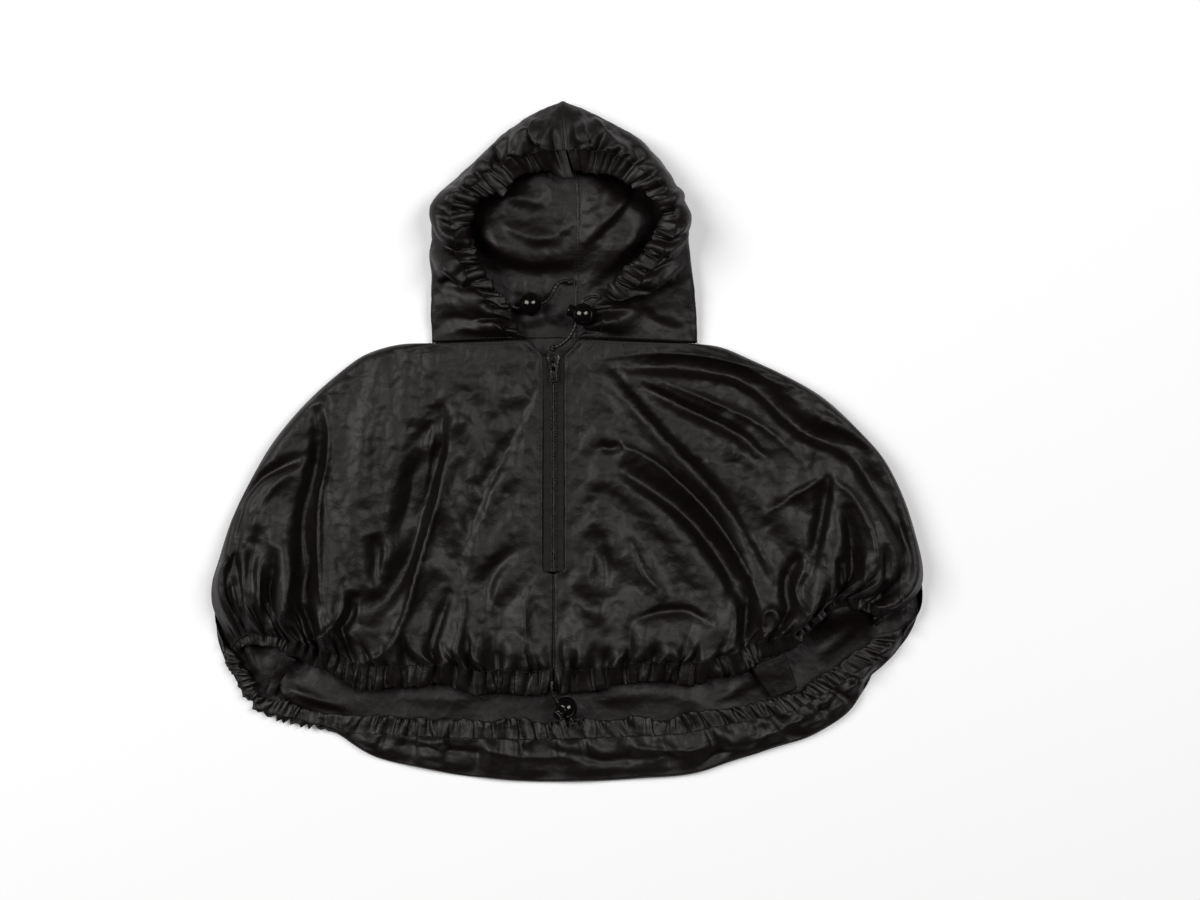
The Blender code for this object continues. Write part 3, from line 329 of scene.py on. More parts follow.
def facets(x, y, size, seed):
    """Flat facets between creases, from -0.5 to 0.5, as of crumpled cloth."""
    warp = 0.45 * size
    x = (x + warp * soft_noise(x, y, 1.7 * size, seed + 1)) / size
    y = (y + warp * soft_noise(x * size, y, 1.7 * size, seed + 2)) / size
    ix, iy = np.floor(x), np.floor(y)
    nearest = np.full(x.shape, 9.0)
    second = np.full(x.shape, 9.0)
    for a in (-1, 0, 1):
        for b in (-1, 0, 1):
            px = ix + a + scatter(ix + a, iy + b, seed)
            py = iy + b + scatter(ix + a, iy + b, seed + 7)
            away = (px - x) ** 2 + (py - y) ** 2
            second = np.minimum(second, np.maximum(nearest, away))
            nearest = np.minimum(nearest, away)
    return np.clip(second - nearest, 0, 1) - 0.5


def creases(x, y, size, seed):
    """Sharp pinched creases with smooth cloth between, from -1 to 0; most of the cloth has none."""
    line = np.abs(soft_noise(x, y, size, seed) + 0.35 * soft_noise(x, y, 0.45 * size, seed + 1))
    return -np.exp(-line / 0.16) * patches(x, y, 1.6 * size, seed + 2, -0.1, 0.6)


def mixed(noise, x, y, rows):
    """Sum of a noise at several sizes; each row has its height, its size and its seed."""
    return sum(height * noise(x, y, size, seed) for height, size, seed in rows)


CREST_ROUND = 1.0         # how far a pinched ridge is rounded at its crest
PINCHED = 6.5             # half-width under which a ridge is pinched


def one_fold(x, y, line, half_width, lean, pinched):
    """Cross shape of a fold along a line of points, and its taper at both ends, from 0 to 1."""
    away = np.hypot(x[:, None] - line[:, 0], y[:, None] - line[:, 1])
    k = away.argmin(axis=1)
    distance = away[np.arange(len(k)), k]
    along = unit(np.gradient(line, axis=0))[k]
    side = np.sign(along[:, 0] * (y - line[k, 1]) - along[:, 1] * (x - line[k, 0]))
    width = half_width * (1 - 0.9 * lean * side)
    taper = np.clip(np.sin(math.pi * (k / (len(line) - 1))), 0, 1) ** 0.7
    if pinched:
        from_crest = np.sqrt(distance ** 2 + CREST_ROUND ** 2) - CREST_ROUND
        return np.exp(-from_crest / (0.62 * width)), taper
    return np.exp(-(distance / width) ** 2), taper


def fold_heights(x, y, folds, deeper=1.0):
    """Height of the listed folds: soft ridges and troughs, steeper on one side.

    Each fold has its path's plan points, half_width, rise and lean. A lean above 0 makes the
    side to the left of the path the steep one. Narrow ridges are pinched and wide ones round.
    deeper multiplies the depth of the troughs.
    """
    total = np.zeros(x.shape)
    for path, half_width, rise, lean in folds:
        line = even_path(spline(path, np.linspace(0, len(path) - 1, 60)), 1.0)
        low, high = line.min(axis=0) - 3 * half_width, line.max(axis=0) + 3 * half_width
        near = (x > low[0]) & (x < high[0]) & (y > low[1]) & (y < high[1])
        if near.any():
            pinched = rise > 0 and half_width < PINCHED
            shape, taper = one_fold(x[near], y[near], line, half_width, lean, pinched)
            total[near] += rise * (1 if rise > 0 else deeper) * shape * taper
    return total


# ---------------------------------------------------------------- cloth that settles on its form

ROUNDS = 8                # how often each step sets the lengths right
SHEAR = 0.12              # stiffness across the weave, against 1 along its threads
BENDING = 0.35            # stiffness of the links that keep the cloth from bending sharply
DAMPED = 0.85             # share of its speed that a point keeps at each step
HOLD_SHARES = (0.35, 0.35, 1.0)     # how strongly the form holds in x, y and z


def border(shape):
    """True at the outermost points of a grid."""
    edge = np.ones(shape, bool)
    edge[1:-1, 1:-1] = False
    return edge


def pairs(shape, di, dj, starts, step):
    """Slices of two sets of grid points that lie (di, dj) apart, for each start.

    The starts and the step along the pair's direction keep a point out of both sets at once.
    """
    rows, columns = shape
    first = (slice(0, rows - di), slice(0, columns - dj) if dj >= 0 else slice(-dj, columns))
    second = (slice(di, rows), slice(dj, columns) if dj >= 0 else slice(0, columns + dj))
    found = []
    axis = 0 if di else 1
    for start in starts:
        a, b = list(first), list(second)
        a[axis] = slice(first[axis].start + start, first[axis].stop, step)
        b[axis] = slice(second[axis].start + start, second[axis].stop, step)
        found.append((tuple(a), tuple(b)))
    return found


def cloth_links(form, spare_u, spare_v):
    """Links between a sheet's points: first and second points, length, stiffness, only_push."""
    links = []
    slanted = (spare_u + spare_v) / 2
    for di, dj, spare, stiffness in ((0, 1, spare_u, 1.0), (1, 0, spare_v, 1.0),
                                     (1, 1, slanted, SHEAR), (1, -1, slanted, SHEAR)):
        for a, b in pairs(form.shape[:2], di, dj, (0, 1), 2):
            rest = np.linalg.norm(form[b] - form[a], axis=2)
            links.append((a, b, rest * (1 + (spare[a] + spare[b]) / 2), stiffness, False))
    for di, dj, spare in ((0, 2, spare_u), (2, 0, spare_v)):
        for a, b in pairs(form.shape[:2], di, dj, (0, 1, 2, 3), 4):
            i = tuple(slice((s.start + t.start) // 2, None, s.step) for s, t in zip(a, b))
            middle = form[i][:form[a].shape[0], :form[a].shape[1]]
            rest = (np.linalg.norm(middle - form[a], axis=2)
                    + np.linalg.norm(form[b] - middle, axis=2))
            links.append((a, b, rest * (1 + spare[a]), BENDING, True))
    return links


def pull(points, links):
    """Moves the linked points so that each link comes nearer to its length."""
    for a, b, rest, stiffness, only_push in links:
        gap = points[b] - points[a]
        length = np.sqrt((gap * gap).sum(axis=2)) + 1e-9
        stretch = (length - rest) / length
        if only_push:
            stretch = np.minimum(stretch, 0)
        move = gap * (0.5 * stiffness * stretch)[..., None]
        points[a] += move
        points[b] -= move


def settle(form, spare_u, spare_v, hold, lift, steps, floor):
    """Cloth cut longer than its form, settled over it with its border held.

    form is rows x columns x 3 points. spare_u and spare_v are the extra shares of length along
    its rows and down its columns. hold draws each point back to the form, lift is the first
    small unevenness that tells the folds where to grow, and floor is the lowest height.
    """
    held = border(form.shape[:2])
    links = cloth_links(form, spare_u, spare_v)
    points = form.copy()
    points[..., 2] += lift
    points[held] = form[held]
    speed = np.zeros_like(points)
    for _ in range(steps):
        before = points.copy()
        points += DAMPED * speed
        points += hold[..., None] * (form - points) * HOLD_SHARES
        for _ in range(ROUNDS):
            pull(points, links)
            points[held] = form[held]
        if floor is not None:
            points[..., 2] = np.maximum(points[..., 2], floor)
        speed = points - before
    return points


def finer(grid, rows, columns, stride):
    """Smooth grid through every stride-th point of a larger one."""
    down = spline(grid.reshape(len(grid), -1), np.arange(rows) / stride).reshape(rows, -1, 3)
    down = down.transpose(1, 0, 2)
    across = spline(down.reshape(len(down), -1), np.arange(columns) / stride)
    return across.reshape(columns, rows, 3).transpose(1, 0, 2)


FOLD_STRIDE = 4           # body-scale folds are settled on every fourth point of a grid


def large_folds(form, spare_u, spare_v, hold, lift, steps, floor=None):
    """The form with its body-scale folds, its border held. Its rows and columns number one
    more than a multiple of the stride."""
    pick = (slice(None, None, FOLD_STRIDE), slice(None, None, FOLD_STRIDE))
    coarse = form[pick]
    settled = settle(coarse, spare_u[pick], spare_v[pick], hold[pick], lift[pick], steps, floor)
    return form + finer(settled - coarse, *form.shape[:2], FOLD_STRIDE)

# ---------------------------------------------------------------- meshes

def new_piece(name, data, material, body="poncho"):
    piece = bpy.data.objects.new(name, data)
    SCENE.collection.objects.link(piece)
    if material is not None:
        data.materials.append(material)
    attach(piece, body)
    return piece


def dress(piece, node=None):
    """Hides the solid that a piece stands in for, if there is one."""
    if node is not None:
        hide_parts(node)
    return piece


def mesh_piece(name, points, faces, material, uvs=None, body="poncho"):
    """Smooth piece from points in millimetres. uvs has a place for each point, in metres of cloth."""
    mesh = bpy.data.meshes.new(name)
    faces = faces.tolist() if isinstance(faces, np.ndarray) else faces
    mesh.from_pydata((np.asarray(points) * MM).tolist(), [], faces)
    mesh.shade_smooth()
    if uvs is not None:
        layer = mesh.uv_layers.new(name="weave")
        corners = np.zeros(len(mesh.loops), int)
        mesh.loops.foreach_get("vertex_index", corners)
        layer.data.foreach_set("uv", np.asarray(uvs)[corners].astype(np.float32).ravel())
    return new_piece(name, mesh, material, body)


def grid_quads(rows, columns, closed=False):
    """Quads of a grid stored row by row; closed joins the last column to the first."""
    i, j = np.meshgrid(np.arange(rows - 1), np.arange(columns if closed else columns - 1),
                       indexing="ij")
    k = (j + 1) % columns
    quads = np.stack([i * columns + j, i * columns + k, (i + 1) * columns + k, (i + 1) * columns + j],
                     axis=-1)
    return quads.reshape(-1, 4)


def capped_faces(rings, sides):
    """Faces of a closed tube through rings of points, with both its ends filled."""
    faces = [tuple(quad) for quad in grid_quads(rings, sides, closed=True)]
    faces.append(tuple(range(sides - 1, -1, -1)))
    faces.append(tuple(range((rings - 1) * sides, rings * sides)))
    return faces


def grid_normals(grid):
    return unit(np.cross(np.gradient(grid, axis=1), np.gradient(grid, axis=0)))


def sheet_piece(name, grid, outward, material, thickness=CLOTH):
    """Closed thin sheet whose outer face is the grid. outward is +1 or -1 for the grid's side."""
    rows, columns = grid.shape[:2]
    count = rows * columns
    inner = grid - grid_normals(grid) * outward * thickness
    outer_faces = grid_quads(rows, columns)
    inner_faces = outer_faces[:, ::-1] + count
    index = np.arange(count).reshape(rows, columns)
    ring = np.concatenate([index[0], index[1:, -1], index[-1, -2::-1], index[-2:0:-1, 0]])
    after = np.roll(ring, -1)
    rim = np.column_stack([after, ring, ring + count, after + count])
    faces = np.vstack([outer_faces, inner_faces, rim])
    if outward > 0:
        faces = faces[:, ::-1]
    uvs = np.stack([run_across(grid), run_down(grid)], axis=-1).reshape(-1, 2) * MM
    points = np.vstack([grid.reshape(-1, 3), inner.reshape(-1, 3)])
    return mesh_piece(name, points, faces, material, uvs=np.vstack([uvs, uvs]))


def tube_piece(name, sections, material, body="poncho"):
    """Closed piece through rings of points, rings x sides x 3, with its ends filled."""
    faces = capped_faces(*sections.shape[:2])
    return mesh_piece(name, sections.reshape(-1, 3), faces, material, body=body)


def frames_along(path):
    """Two directions square to a path at each point, turning with it as little as possible."""
    along = unit(np.gradient(path, axis=0))
    up = np.array([0.0, 0.0, 1.0]) if abs(along[0][2]) < 0.9 else np.array([0.0, 1.0, 0.0])
    first = []
    for direction in along:
        up = up - direction * up.dot(direction)
        up /= np.linalg.norm(up)
        first.append(up)
    first = np.array(first)
    return first, np.cross(along, first)


def round_tube(path, radii, sides):
    """Rings round a path; radii is rings x sides or a number."""
    first, second = frames_along(path)
    angles = np.linspace(0, 2 * math.pi, sides, endpoint=False)
    radii = np.broadcast_to(radii, (len(path), sides))
    return (path[:, None] + first[:, None] * (radii * np.cos(angles))[..., None]
            + second[:, None] * (radii * np.sin(angles))[..., None])


# ---------------------------------------------------------------- materials

def shader_of(name, colour, roughness, specular, tint=(1.0, 1.0, 1.0)):
    """New material with its node tree and its shader; tint colours what it mirrors."""
    material = bpy.data.materials.new(name)
    material.use_nodes = True
    shader = material.node_tree.nodes["Principled BSDF"]
    shader.inputs["Base Color"].default_value = (*colour, 1.0)
    shader.inputs["Roughness"].default_value = roughness
    shader.inputs["Specular IOR Level"].default_value = specular
    shader.inputs["Specular Tint"].default_value = (*tint, 1.0)
    return material, material.node_tree, shader


def add_node(tree, kind, **settings):
    """Shader node with its properties and its inputs' values set by name."""
    node = tree.nodes.new(kind)
    for key, value in settings.items():
        if hasattr(node, key):
            setattr(node, key, value)
        else:
            node.inputs[key.replace("_", " ").title()].default_value = value
    return node


def texture(tree, kind, output, **settings):
    """Output of a texture node over the piece's own coordinates."""
    node = add_node(tree, kind, **settings)
    place = add_node(tree, "ShaderNodeTexCoord")
    tree.links.new(place.outputs["Object"], node.inputs["Vector"])
    return node.outputs[output]


def bump_chain(tree, shader, layers):
    """Bump from several height sockets, each with its strength and depth in metres."""
    previous = None
    for socket, strength, depth in layers:
        bump = add_node(tree, "ShaderNodeBump", strength=strength, distance=depth)
        tree.links.new(socket, bump.inputs["Height"])
        if previous is not None:
            tree.links.new(previous, bump.inputs["Normal"])
        previous = bump.outputs["Normal"]
    tree.links.new(previous, shader.inputs["Normal"])


def noise_height(tree, scale, detail, distortion=0.0):
    return texture(tree, "ShaderNodeTexNoise", "Fac", scale=scale, detail=detail, distortion=distortion)


WARP_SCALE = 900.0        # waves of 0.35 mm: the taffeta's ribs
WEFT_SCALE = 630.0


def weave_height(tree):
    """Height of warp and weft ribs over the cloth's own flat coordinates."""
    place = add_node(tree, "ShaderNodeUVMap", uv_map="weave")
    both = add_node(tree, "ShaderNodeMath", operation="MULTIPLY")
    for k, (direction, scale) in enumerate((("X", WARP_SCALE), ("Y", WEFT_SCALE))):
        wave = add_node(tree, "ShaderNodeTexWave", wave_type="BANDS", bands_direction=direction, scale=scale)
        tree.links.new(place.outputs["UV"], wave.inputs["Vector"])
        tree.links.new(wave.outputs["Fac"], both.inputs[k])
    return both.outputs[0]


def crinkle_height(tree, scale):
    """Height of small flat facets between fine crinkles, their lines bent by noise."""
    bend = texture(tree, "ShaderNodeTexNoise", "Color", scale=0.7 * scale, detail=2.0)
    place = add_node(tree, "ShaderNodeTexCoord")
    shifted = add_node(tree, "ShaderNodeVectorMath", operation="MULTIPLY_ADD")
    tree.links.new(bend, shifted.inputs[0])
    shifted.inputs[1].default_value = (0.6 / scale, 0.6 / scale, 0.6 / scale)
    tree.links.new(place.outputs["Object"], shifted.inputs[2])
    cells = add_node(tree, "ShaderNodeTexVoronoi", feature="F1", scale=scale)
    tree.links.new(shifted.outputs["Vector"], cells.inputs["Vector"])
    return cells.outputs["Distance"]


def uneven_roughness(tree, shader, scale, detail, low, high):
    """Roughness that noise spreads between two values."""
    spread = add_node(tree, "ShaderNodeMapRange", from_min=0.3, from_max=0.7, to_min=low, to_max=high)
    tree.links.new(noise_height(tree, scale, detail), spread.inputs["Value"])
    tree.links.new(spread.outputs["Result"], shader.inputs["Roughness"])


NYLON_COLOUR = (0.0034, 0.0014, 0.0013)
NYLON_TINT = (1.0, 0.945, 0.95)
GLOSS_TINT = (1.0, 0.95, 0.88)
PLASTIC_COLOUR = (0.0032, 0.0024, 0.0023)
TAPE_COLOUR = (0.0074, 0.0062, 0.0055)
CORD_COLOUR = (0.0042, 0.0033, 0.0030)
THREAD_COLOUR = (0.0060, 0.0048, 0.0045)


def nylon_material():
    """Thin black taffeta: glossy, with fine ribs, small crumples and uneven shine."""
    material, tree, shader = shader_of("nylon", NYLON_COLOUR, 0.4, 0.35, NYLON_TINT)
    uneven_roughness(tree, shader, 38.0, 3.0, 0.44, 0.54)
    bump_chain(tree, shader, [
        (weave_height(tree), 0.15, 0.0001),
        (noise_height(tree, 210.0, 4.0, 1.2), 0.20, 0.0010),
        (crinkle_height(tree, 150.0), 0.22, 0.0012),
        (crinkle_height(tree, 75.0), 0.22, 0.0030),
    ])
    return material


def plastic_material(name, roughness, specular):
    """Moulded black plastic with faint unevenness and fine scratches."""
    material, tree, shader = shader_of(name, PLASTIC_COLOUR, roughness, specular, GLOSS_TINT)
    uneven_roughness(tree, shader, 500.0, 4.0, roughness * 0.8, roughness * 1.4)
    bump_chain(tree, shader, [(noise_height(tree, 900.0, 3.0), 0.06, 0.0002)])
    return material


def tape_material():
    """Woven zip tape: close diagonal ribs, matt."""
    material, tree, shader = shader_of("zip_tape", TAPE_COLOUR, 0.75, 0.3)
    ribs = texture(tree, "ShaderNodeTexWave", "Fac", wave_type="BANDS", bands_direction="DIAGONAL",
                   scale=420.0)
    bump_chain(tree, shader, [(ribs, 0.5, 0.0003), (noise_height(tree, 700.0, 2.0), 0.2, 0.0003)])
    return material


def cord_material():
    """Braided elastic cord; its strands are in the mesh, and fine fibres are bump."""
    material, tree, shader = shader_of("cord", CORD_COLOUR, 0.4, 0.45, GLOSS_TINT)
    bump_chain(tree, shader, [(noise_height(tree, 2400.0, 2.0, 0.5), 0.4, 0.0002)])
    return material


def thread_material():
    """Black polyester sewing thread, a little shinier than the cloth round it."""
    material, tree, shader = shader_of("thread", THREAD_COLOUR, 0.5, 0.5)
    bump_chain(tree, shader, [(noise_height(tree, 3000.0, 2.0), 0.3, 0.0001)])
    return material


NYLON = nylon_material()
GLOSS_PLASTIC = plastic_material("gloss_plastic", 0.12, 0.5)
ZIP_PLASTIC = plastic_material("zip_plastic", 0.28, 0.7)
LACQUER = plastic_material("lacquer", 0.18, 1.0)
TAPE = tape_material()
CORD = cord_material()
THREAD = thread_material()

# ---------------------------------------------------------------- gathers

JOINS = [
    # How far in from the seam each level of joined pleats lies and how far it spreads, as
    # shares of the pleats' reach.
    (0.0, 0.2), (0.2, 0.24), (0.45, 0.36), (0.8, 0.5), (1.2, 0.7), (1.7, 0.9),
]
MEAN_PLEAT = 7            # width that the pleats have on average, for their mean height


class Gathers:
    """Uneven gathers along a seam: where each begins, how full it is, and which ones join."""

    def __init__(self, length, pitch, seed, tight=()):
        """tight has stretches of the seam, (start, end, pitch), with closer gathers."""
        rng = np.random.default_rng(seed)
        marks = [0.0]
        while marks[-1] < length:
            here = pitch
            for start, end, closer in tight:
                if start <= marks[-1] < end:
                    here = closer
            marks.append(marks[-1] + here * float(np.clip(rng.lognormal(-0.1, 0.42), 0.4, 2.2)))
        marks = np.array(marks) * length / marks[-1]
        self.levels = []
        while len(marks) > 3:
            count = len(marks)
            self.levels.append((marks, rng.uniform(0.4, 1.0, count), rng.uniform(-1, 1, count)))
            widths = np.diff(marks)
            keep = np.ones(count, bool)
            for k in range(1, count - 1):
                narrow = widths[k - 1] + widths[k] < np.median(widths) * 2.6
                if keep[k - 1] and narrow and rng.random() < 0.75:
                    keep[k] = False
            if keep.all():
                keep[1 + int(rng.integers(count - 2))] = False
            marks = marks[keep]

    def wave(self, s, level=0):
        """Bulges from 0 to 1 with sharp valleys at the marks, their widths and their leans."""
        marks, sizes, leans = self.levels[min(level, len(self.levels) - 1)]
        k = np.clip(np.searchsorted(marks, s, side="right") - 1, 0, len(marks) - 2)
        width = marks[k + 1] - marks[k]
        f = np.clip((s - marks[k]) / width, 0, 1)
        return np.sin(math.pi * f) ** 0.8 * (0.4 + 0.6 * sizes[k]), width, leans[k]

    def pleats(self, s, t, reach, height):
        """Pleats that run from the seam (t = 0) into a panel and join as they go.

        Returns their height and how far their crests lean along the seam.
        """
        total, aside = np.zeros(s.shape), np.zeros(s.shape)
        for level, (centre, spread) in enumerate(JOINS[:len(self.levels)]):
            weight = np.exp(-((t - reach * centre) / (reach * spread)) ** 2)
            drift = 0.35 * reach ** 0.5 * soft_noise(s, t, 0.9 * reach, 11 + level)
            drift = drift * smoothstep(t, 0, reach)
            bulge, width, lean = self.wave(s + drift, level)
            high = weight * bulge * np.clip(width, 2, 20) * height
            total += high - 0.45 * weight * height * MEAN_PLEAT
            aside += high * lean * 0.6
        fade = np.exp(-t / (1.7 * reach)) * (1 - smoothstep(t, 1.6 * reach, 3.0 * reach))
        fade = fade * (0.75 + 0.5 * smoothstep(soft_noise(s, 0 * s, 34, 5), -0.5, 0.6))
        return total * fade, aside * fade


# ---------------------------------------------------------------- the fronts

FRONT_ROWS = 153
FRONT_COLUMNS = 141
RIM_COLUMNS = 32
RIM_SHARE = 0.085         # share of a front's width that its rim takes
NECK_POINT_LEFT = (-32.6, 84.3)
NECK_POINT_RIGHT = (10.4, 84.9)
CENTRE_BOTTOM = -190      # where the centre seam meets the hem
NECK_SAG = 0.4
FRONT_SPARE = 0.032       # share by which the cloth is longer than its form
FOLD_DEPTH = 1.8          # the hand-placed folds' height, as a multiple of their rise
TROUGH_DEPTH = 1.3


def column_shares():
    """Column places from centre to side, closer together over the rounded rim."""
    rim = 1 - RIM_SHARE * (1 - np.linspace(0, 1, RIM_COLUMNS + 1)[1:]) ** 1.7
    return np.concatenate([np.linspace(0, 1 - RIM_SHARE, FRONT_COLUMNS), rim])


def centre_line(sign):
    """Inner edge of a front: V at the neck, straight beside the zip, then the centre seam.

    Returns the edge and a second line that goes over from the tape to the seam gradually.
    """
    neck = NECK_POINT_LEFT if sign < 0 else NECK_POINT_RIGHT
    tape_x = ZIP_X + sign * (TAPE_HALF + 0.2)
    seam_x = ZIP_X + sign * SEAM_HALF
    ys = np.linspace(neck[1], CENTRE_BOTTOM, FRONT_ROWS)
    lines = []
    for low, high in ((ZIP_BOTTOM - 3, ZIP_BOTTOM), (-170, -50)):
        x = seam_x + (tape_x - seam_x) * smoothstep(ys, low, high)
        x = x + (neck[0] - tape_x) * np.clip((ys - ZIP_TOP) / (neck[1] - ZIP_TOP), 0, 1)
        lines.append(np.column_stack([x, ys]))
    return lines


def crest_heights(us, vs, hem_z):
    """Crest height of a front at its rows vs and columns us."""
    columns = [np.interp(us, CREST_COLUMNS, row) for row in CREST] + [hem_z]
    i = np.clip(np.searchsorted(CREST_ROWS, vs, side="right") - 1, 0, len(CREST_ROWS) - 2)
    low, high = np.array(CREST_ROWS)[i], np.array(CREST_ROWS)[i + 1]
    f = smoothstep((vs - low) / (high - low), 0, 1)[:, None]
    columns = np.array(columns)
    return columns[i] * (1 - f) + columns[i + 1] * f


def front_form(sign, side, hem):
    """Points of a front without its folds, and its hem's row numbers."""
    edge, centre = centre_line(sign)
    vs = np.linspace(0, 1, FRONT_ROWS)
    us = column_shares()
    hem_rows = rows_along(hem, us)
    bottom = spline(hem, hem_rows)[:, :3]
    side = np.vstack([side, hem[-1][:3]])
    outer = spline(side, rows_along(side, vs))
    top = centre[0] * (1 - us[:, None]) + outer[0][:2] * us[:, None]
    top = top - np.column_stack([0 * us, NECK_SAG * np.sin(math.pi * us)])
    plan = patch(top, bottom[:, :2], centre, outer[:, :2], us, vs)
    from_centre = np.linalg.norm(plan - plan[:, :1], axis=2)
    plan = plan + (edge - centre)[:, None] * np.exp(-from_centre / 9.0)[..., None]
    to_side = np.linalg.norm(plan - plan[:, -1:], axis=2)
    radius = np.minimum(RIM_RADIUS, 0.4 * to_side[:, :1])
    lift = np.sqrt(np.clip(1 - (1 - np.clip(to_side / radius, 0, 1)) ** 2, 0, 1))
    crest = crest_heights(us, vs, bottom[:, 2])
    seam = outer[:, 2:3] + 0.3
    return plan, crest, lift, seam, hem_rows


def front_places(plan):
    """Distances in plan of each point of a front from its edges, and along its hem."""
    return SimpleNamespace(
        x=plan[..., 0], y=plan[..., 1],
        from_neck=run_down(plan),
        to_hem=run_down(plan[::-1])[::-1],
        along_hem=np.broadcast_to(run_length(plan[-1]), plan.shape[:2]),
        to_centre=np.abs(plan[..., 0] - plan[:, :1, 0]),
        to_side=np.linalg.norm(plan - plan[:, -1:], axis=2))


def front_panel(sign, side, hem, folds, gathers, reach, seed):
    """One front, settled, with the row numbers of its hem."""
    plan, crest, lift, seam, hem_rows = front_form(sign, side, hem)
    at = front_places(plan)
    loose = smoothstep(at.from_neck, 0, 30) * smoothstep(at.to_centre, 0, 26) * smoothstep(at.to_side, 2, 30)
    folded = (FOLD_DEPTH * fold_heights(at.x, at.y, folds, TROUGH_DEPTH)
              * smoothstep(at.from_neck, 0, 25) * smoothstep(at.to_centre, -2, 10))
    form = np.dstack([plan, seam + (crest - seam) * lift])
    spare = FRONT_SPARE * patches(at.x, at.y, 90, seed + 9, -0.9) * (
        0.25 + 0.75 * smoothstep(at.from_neck, 50, 170))
    gathered = 0.03 * np.exp(-at.to_hem / 60)
    hold = 0.012 + 0.20 * (1 - loose)
    wide = mixed(soft_noise, at.x, at.y, ((1.2, 46, seed + 3), (0.5, 28, seed + 4)))
    form = large_folds(form, (spare + gathered) * loose, spare * 0.8 * loose, hold,
                       (wide + 0.25 * folded) * loose, steps=160)
    form[..., 2] += folded * lift
    form = front_pleats(form, at, gathers, reach)
    form[..., 2] += front_crumples(at, seed)
    return form, hem_rows


def front_pleats(form, at, gathers, reach):
    """The front with the pleats that rise from its hem, longer and higher near the arm."""
    near_arm = smoothstep(at.along_hem, 0.45 * at.along_hem.max(), 0.75 * at.along_hem.max())
    close_high, close_aside = gathers.pleats(at.along_hem, at.to_hem, reach[0], 0.40)
    far_high, far_aside = gathers.pleats(at.along_hem, at.to_hem, reach[1], 0.78)
    high = close_high + (far_high - close_high) * near_arm
    aside = close_aside + (far_aside - close_aside) * near_arm
    ease = smoothstep(at.to_centre, -2, 10) * smoothstep(at.to_side, 0, 16) * smoothstep(at.from_neck, 10, 60)
    along = unit(np.gradient(form, axis=1))
    form = form + along * (aside * ease)[..., None]
    form[..., 2] += high * ease
    return form


def front_crumples(at, seed):
    """Height of a front's small crumples, and of its creases away from the neck."""
    quiet = smoothstep(at.from_neck, 0, 10) * smoothstep(at.to_centre, 0, 10) * smoothstep(at.to_side, 0, 14)
    creased = 1.0 * creases(at.x, at.y, 34, seed + 6) + 0.4 * creases(at.y, at.x, 16, seed + 16)
    return quiet * (mixed(facets, at.x, at.y, ((0.9, 26, seed), (0.55, 12, seed + 5)))
                    + smoothstep(at.from_neck, 20, 90) * creased)

# ---------------------------------------------------------------- gathered casings

CASING_SIDES = 18
CASING_STEP = 0.9


def casing_offsets(angle, s, gathers, width, sway, bunch, fat, frill, seed):
    """How far a line round the casing lies across from its stitching, up off it and along it."""
    none = 0 * s
    w = 0.5 - 0.5 * np.cos(angle)          # 0 at the stitch line, 1 at the free edge
    slant = 4.2 * w * soft_noise(s, none, 24, seed) + 1.2 * w * soft_noise(s, none, 9, seed + 3)
    bulge, wide, lean = gathers.wave(s + slant)
    bulge = bunch * bulge * (0.75 + 0.4 * soft_noise(s, none + 40 * w, 6, seed + 1))
    bulge = bulge + 0.40 * gathers.wave(s + 1.4 * slant, 1)[0]
    small = soft_noise(s + 1.5 * slant, none + 5 * w, 3.6, seed + 5)
    body = np.sin(angle) * w ** 0.85 * fat * (0.35 + 0.75 * bulge + 0.10 * small)
    rise = (w ** 0.9) * (3.0 * (bulge - 0.35) + 0.25 * small) * np.clip(wide / 6, 0.9, 1.6)
    out = (w * (width + sway) + frill * (w ** 2) * ((bulge - 0.45) + 0.3 * small)
           - 1.3 * (1 - w) ** 4)
    sink = 0.12 * (1 - w) ** 6 + 0.5 * sway * w ** 2
    return out, body + rise + sink, 0.85 * lean * (rise + body)


def casing_piece(name, stitch, free, gathers, start, fat, frill, loose, seed):
    """Gathered casing round its elastic: rings from the stitch line round the free edge.

    stitch and free are the two edges, point by point; start is the distance along the whole
    seam where the piece begins, so that its gathers run on from the panel's pleats. loose is
    how full the gathers are where they are slackest.
    """
    length = run_length(stitch)
    places = np.linspace(0, length[-1], int(length[-1] / CASING_STEP))
    stitch, free = resampled(stitch, length, places), resampled(free, length, places)
    s = places + start
    width = np.linalg.norm(free - stitch, axis=1)
    across = unit(free - stitch)
    along = unit(np.gradient(stitch, axis=0))
    up = unit(np.cross(along, across))
    up *= np.sign(up[:, 2:3])
    sway = frill * mixed(soft_noise, s, 0 * s, ((0.75, 27, seed + 8), (0.4, 11, seed + 9)))
    bunch = loose + (0.85 - loose) * patches(s, 0 * s, 30, seed + 12, -0.5, 0.4)
    rings = []
    for angle in np.linspace(0, 2 * math.pi, CASING_SIDES, endpoint=False):
        out, rise, aside = casing_offsets(angle, s, gathers, width, sway, bunch, fat, frill, seed)
        rings.append(stitch + across * out[:, None] + up * rise[:, None] + along * aside[:, None])
    sections = np.stack(rings, axis=1)
    for row in (0, -1):
        middle = sections[row].mean(axis=0)
        sections[row] = middle + (sections[row] - middle) * 0.9
    dress(tube_piece(name + "_cloth", sections, NYLON), name)


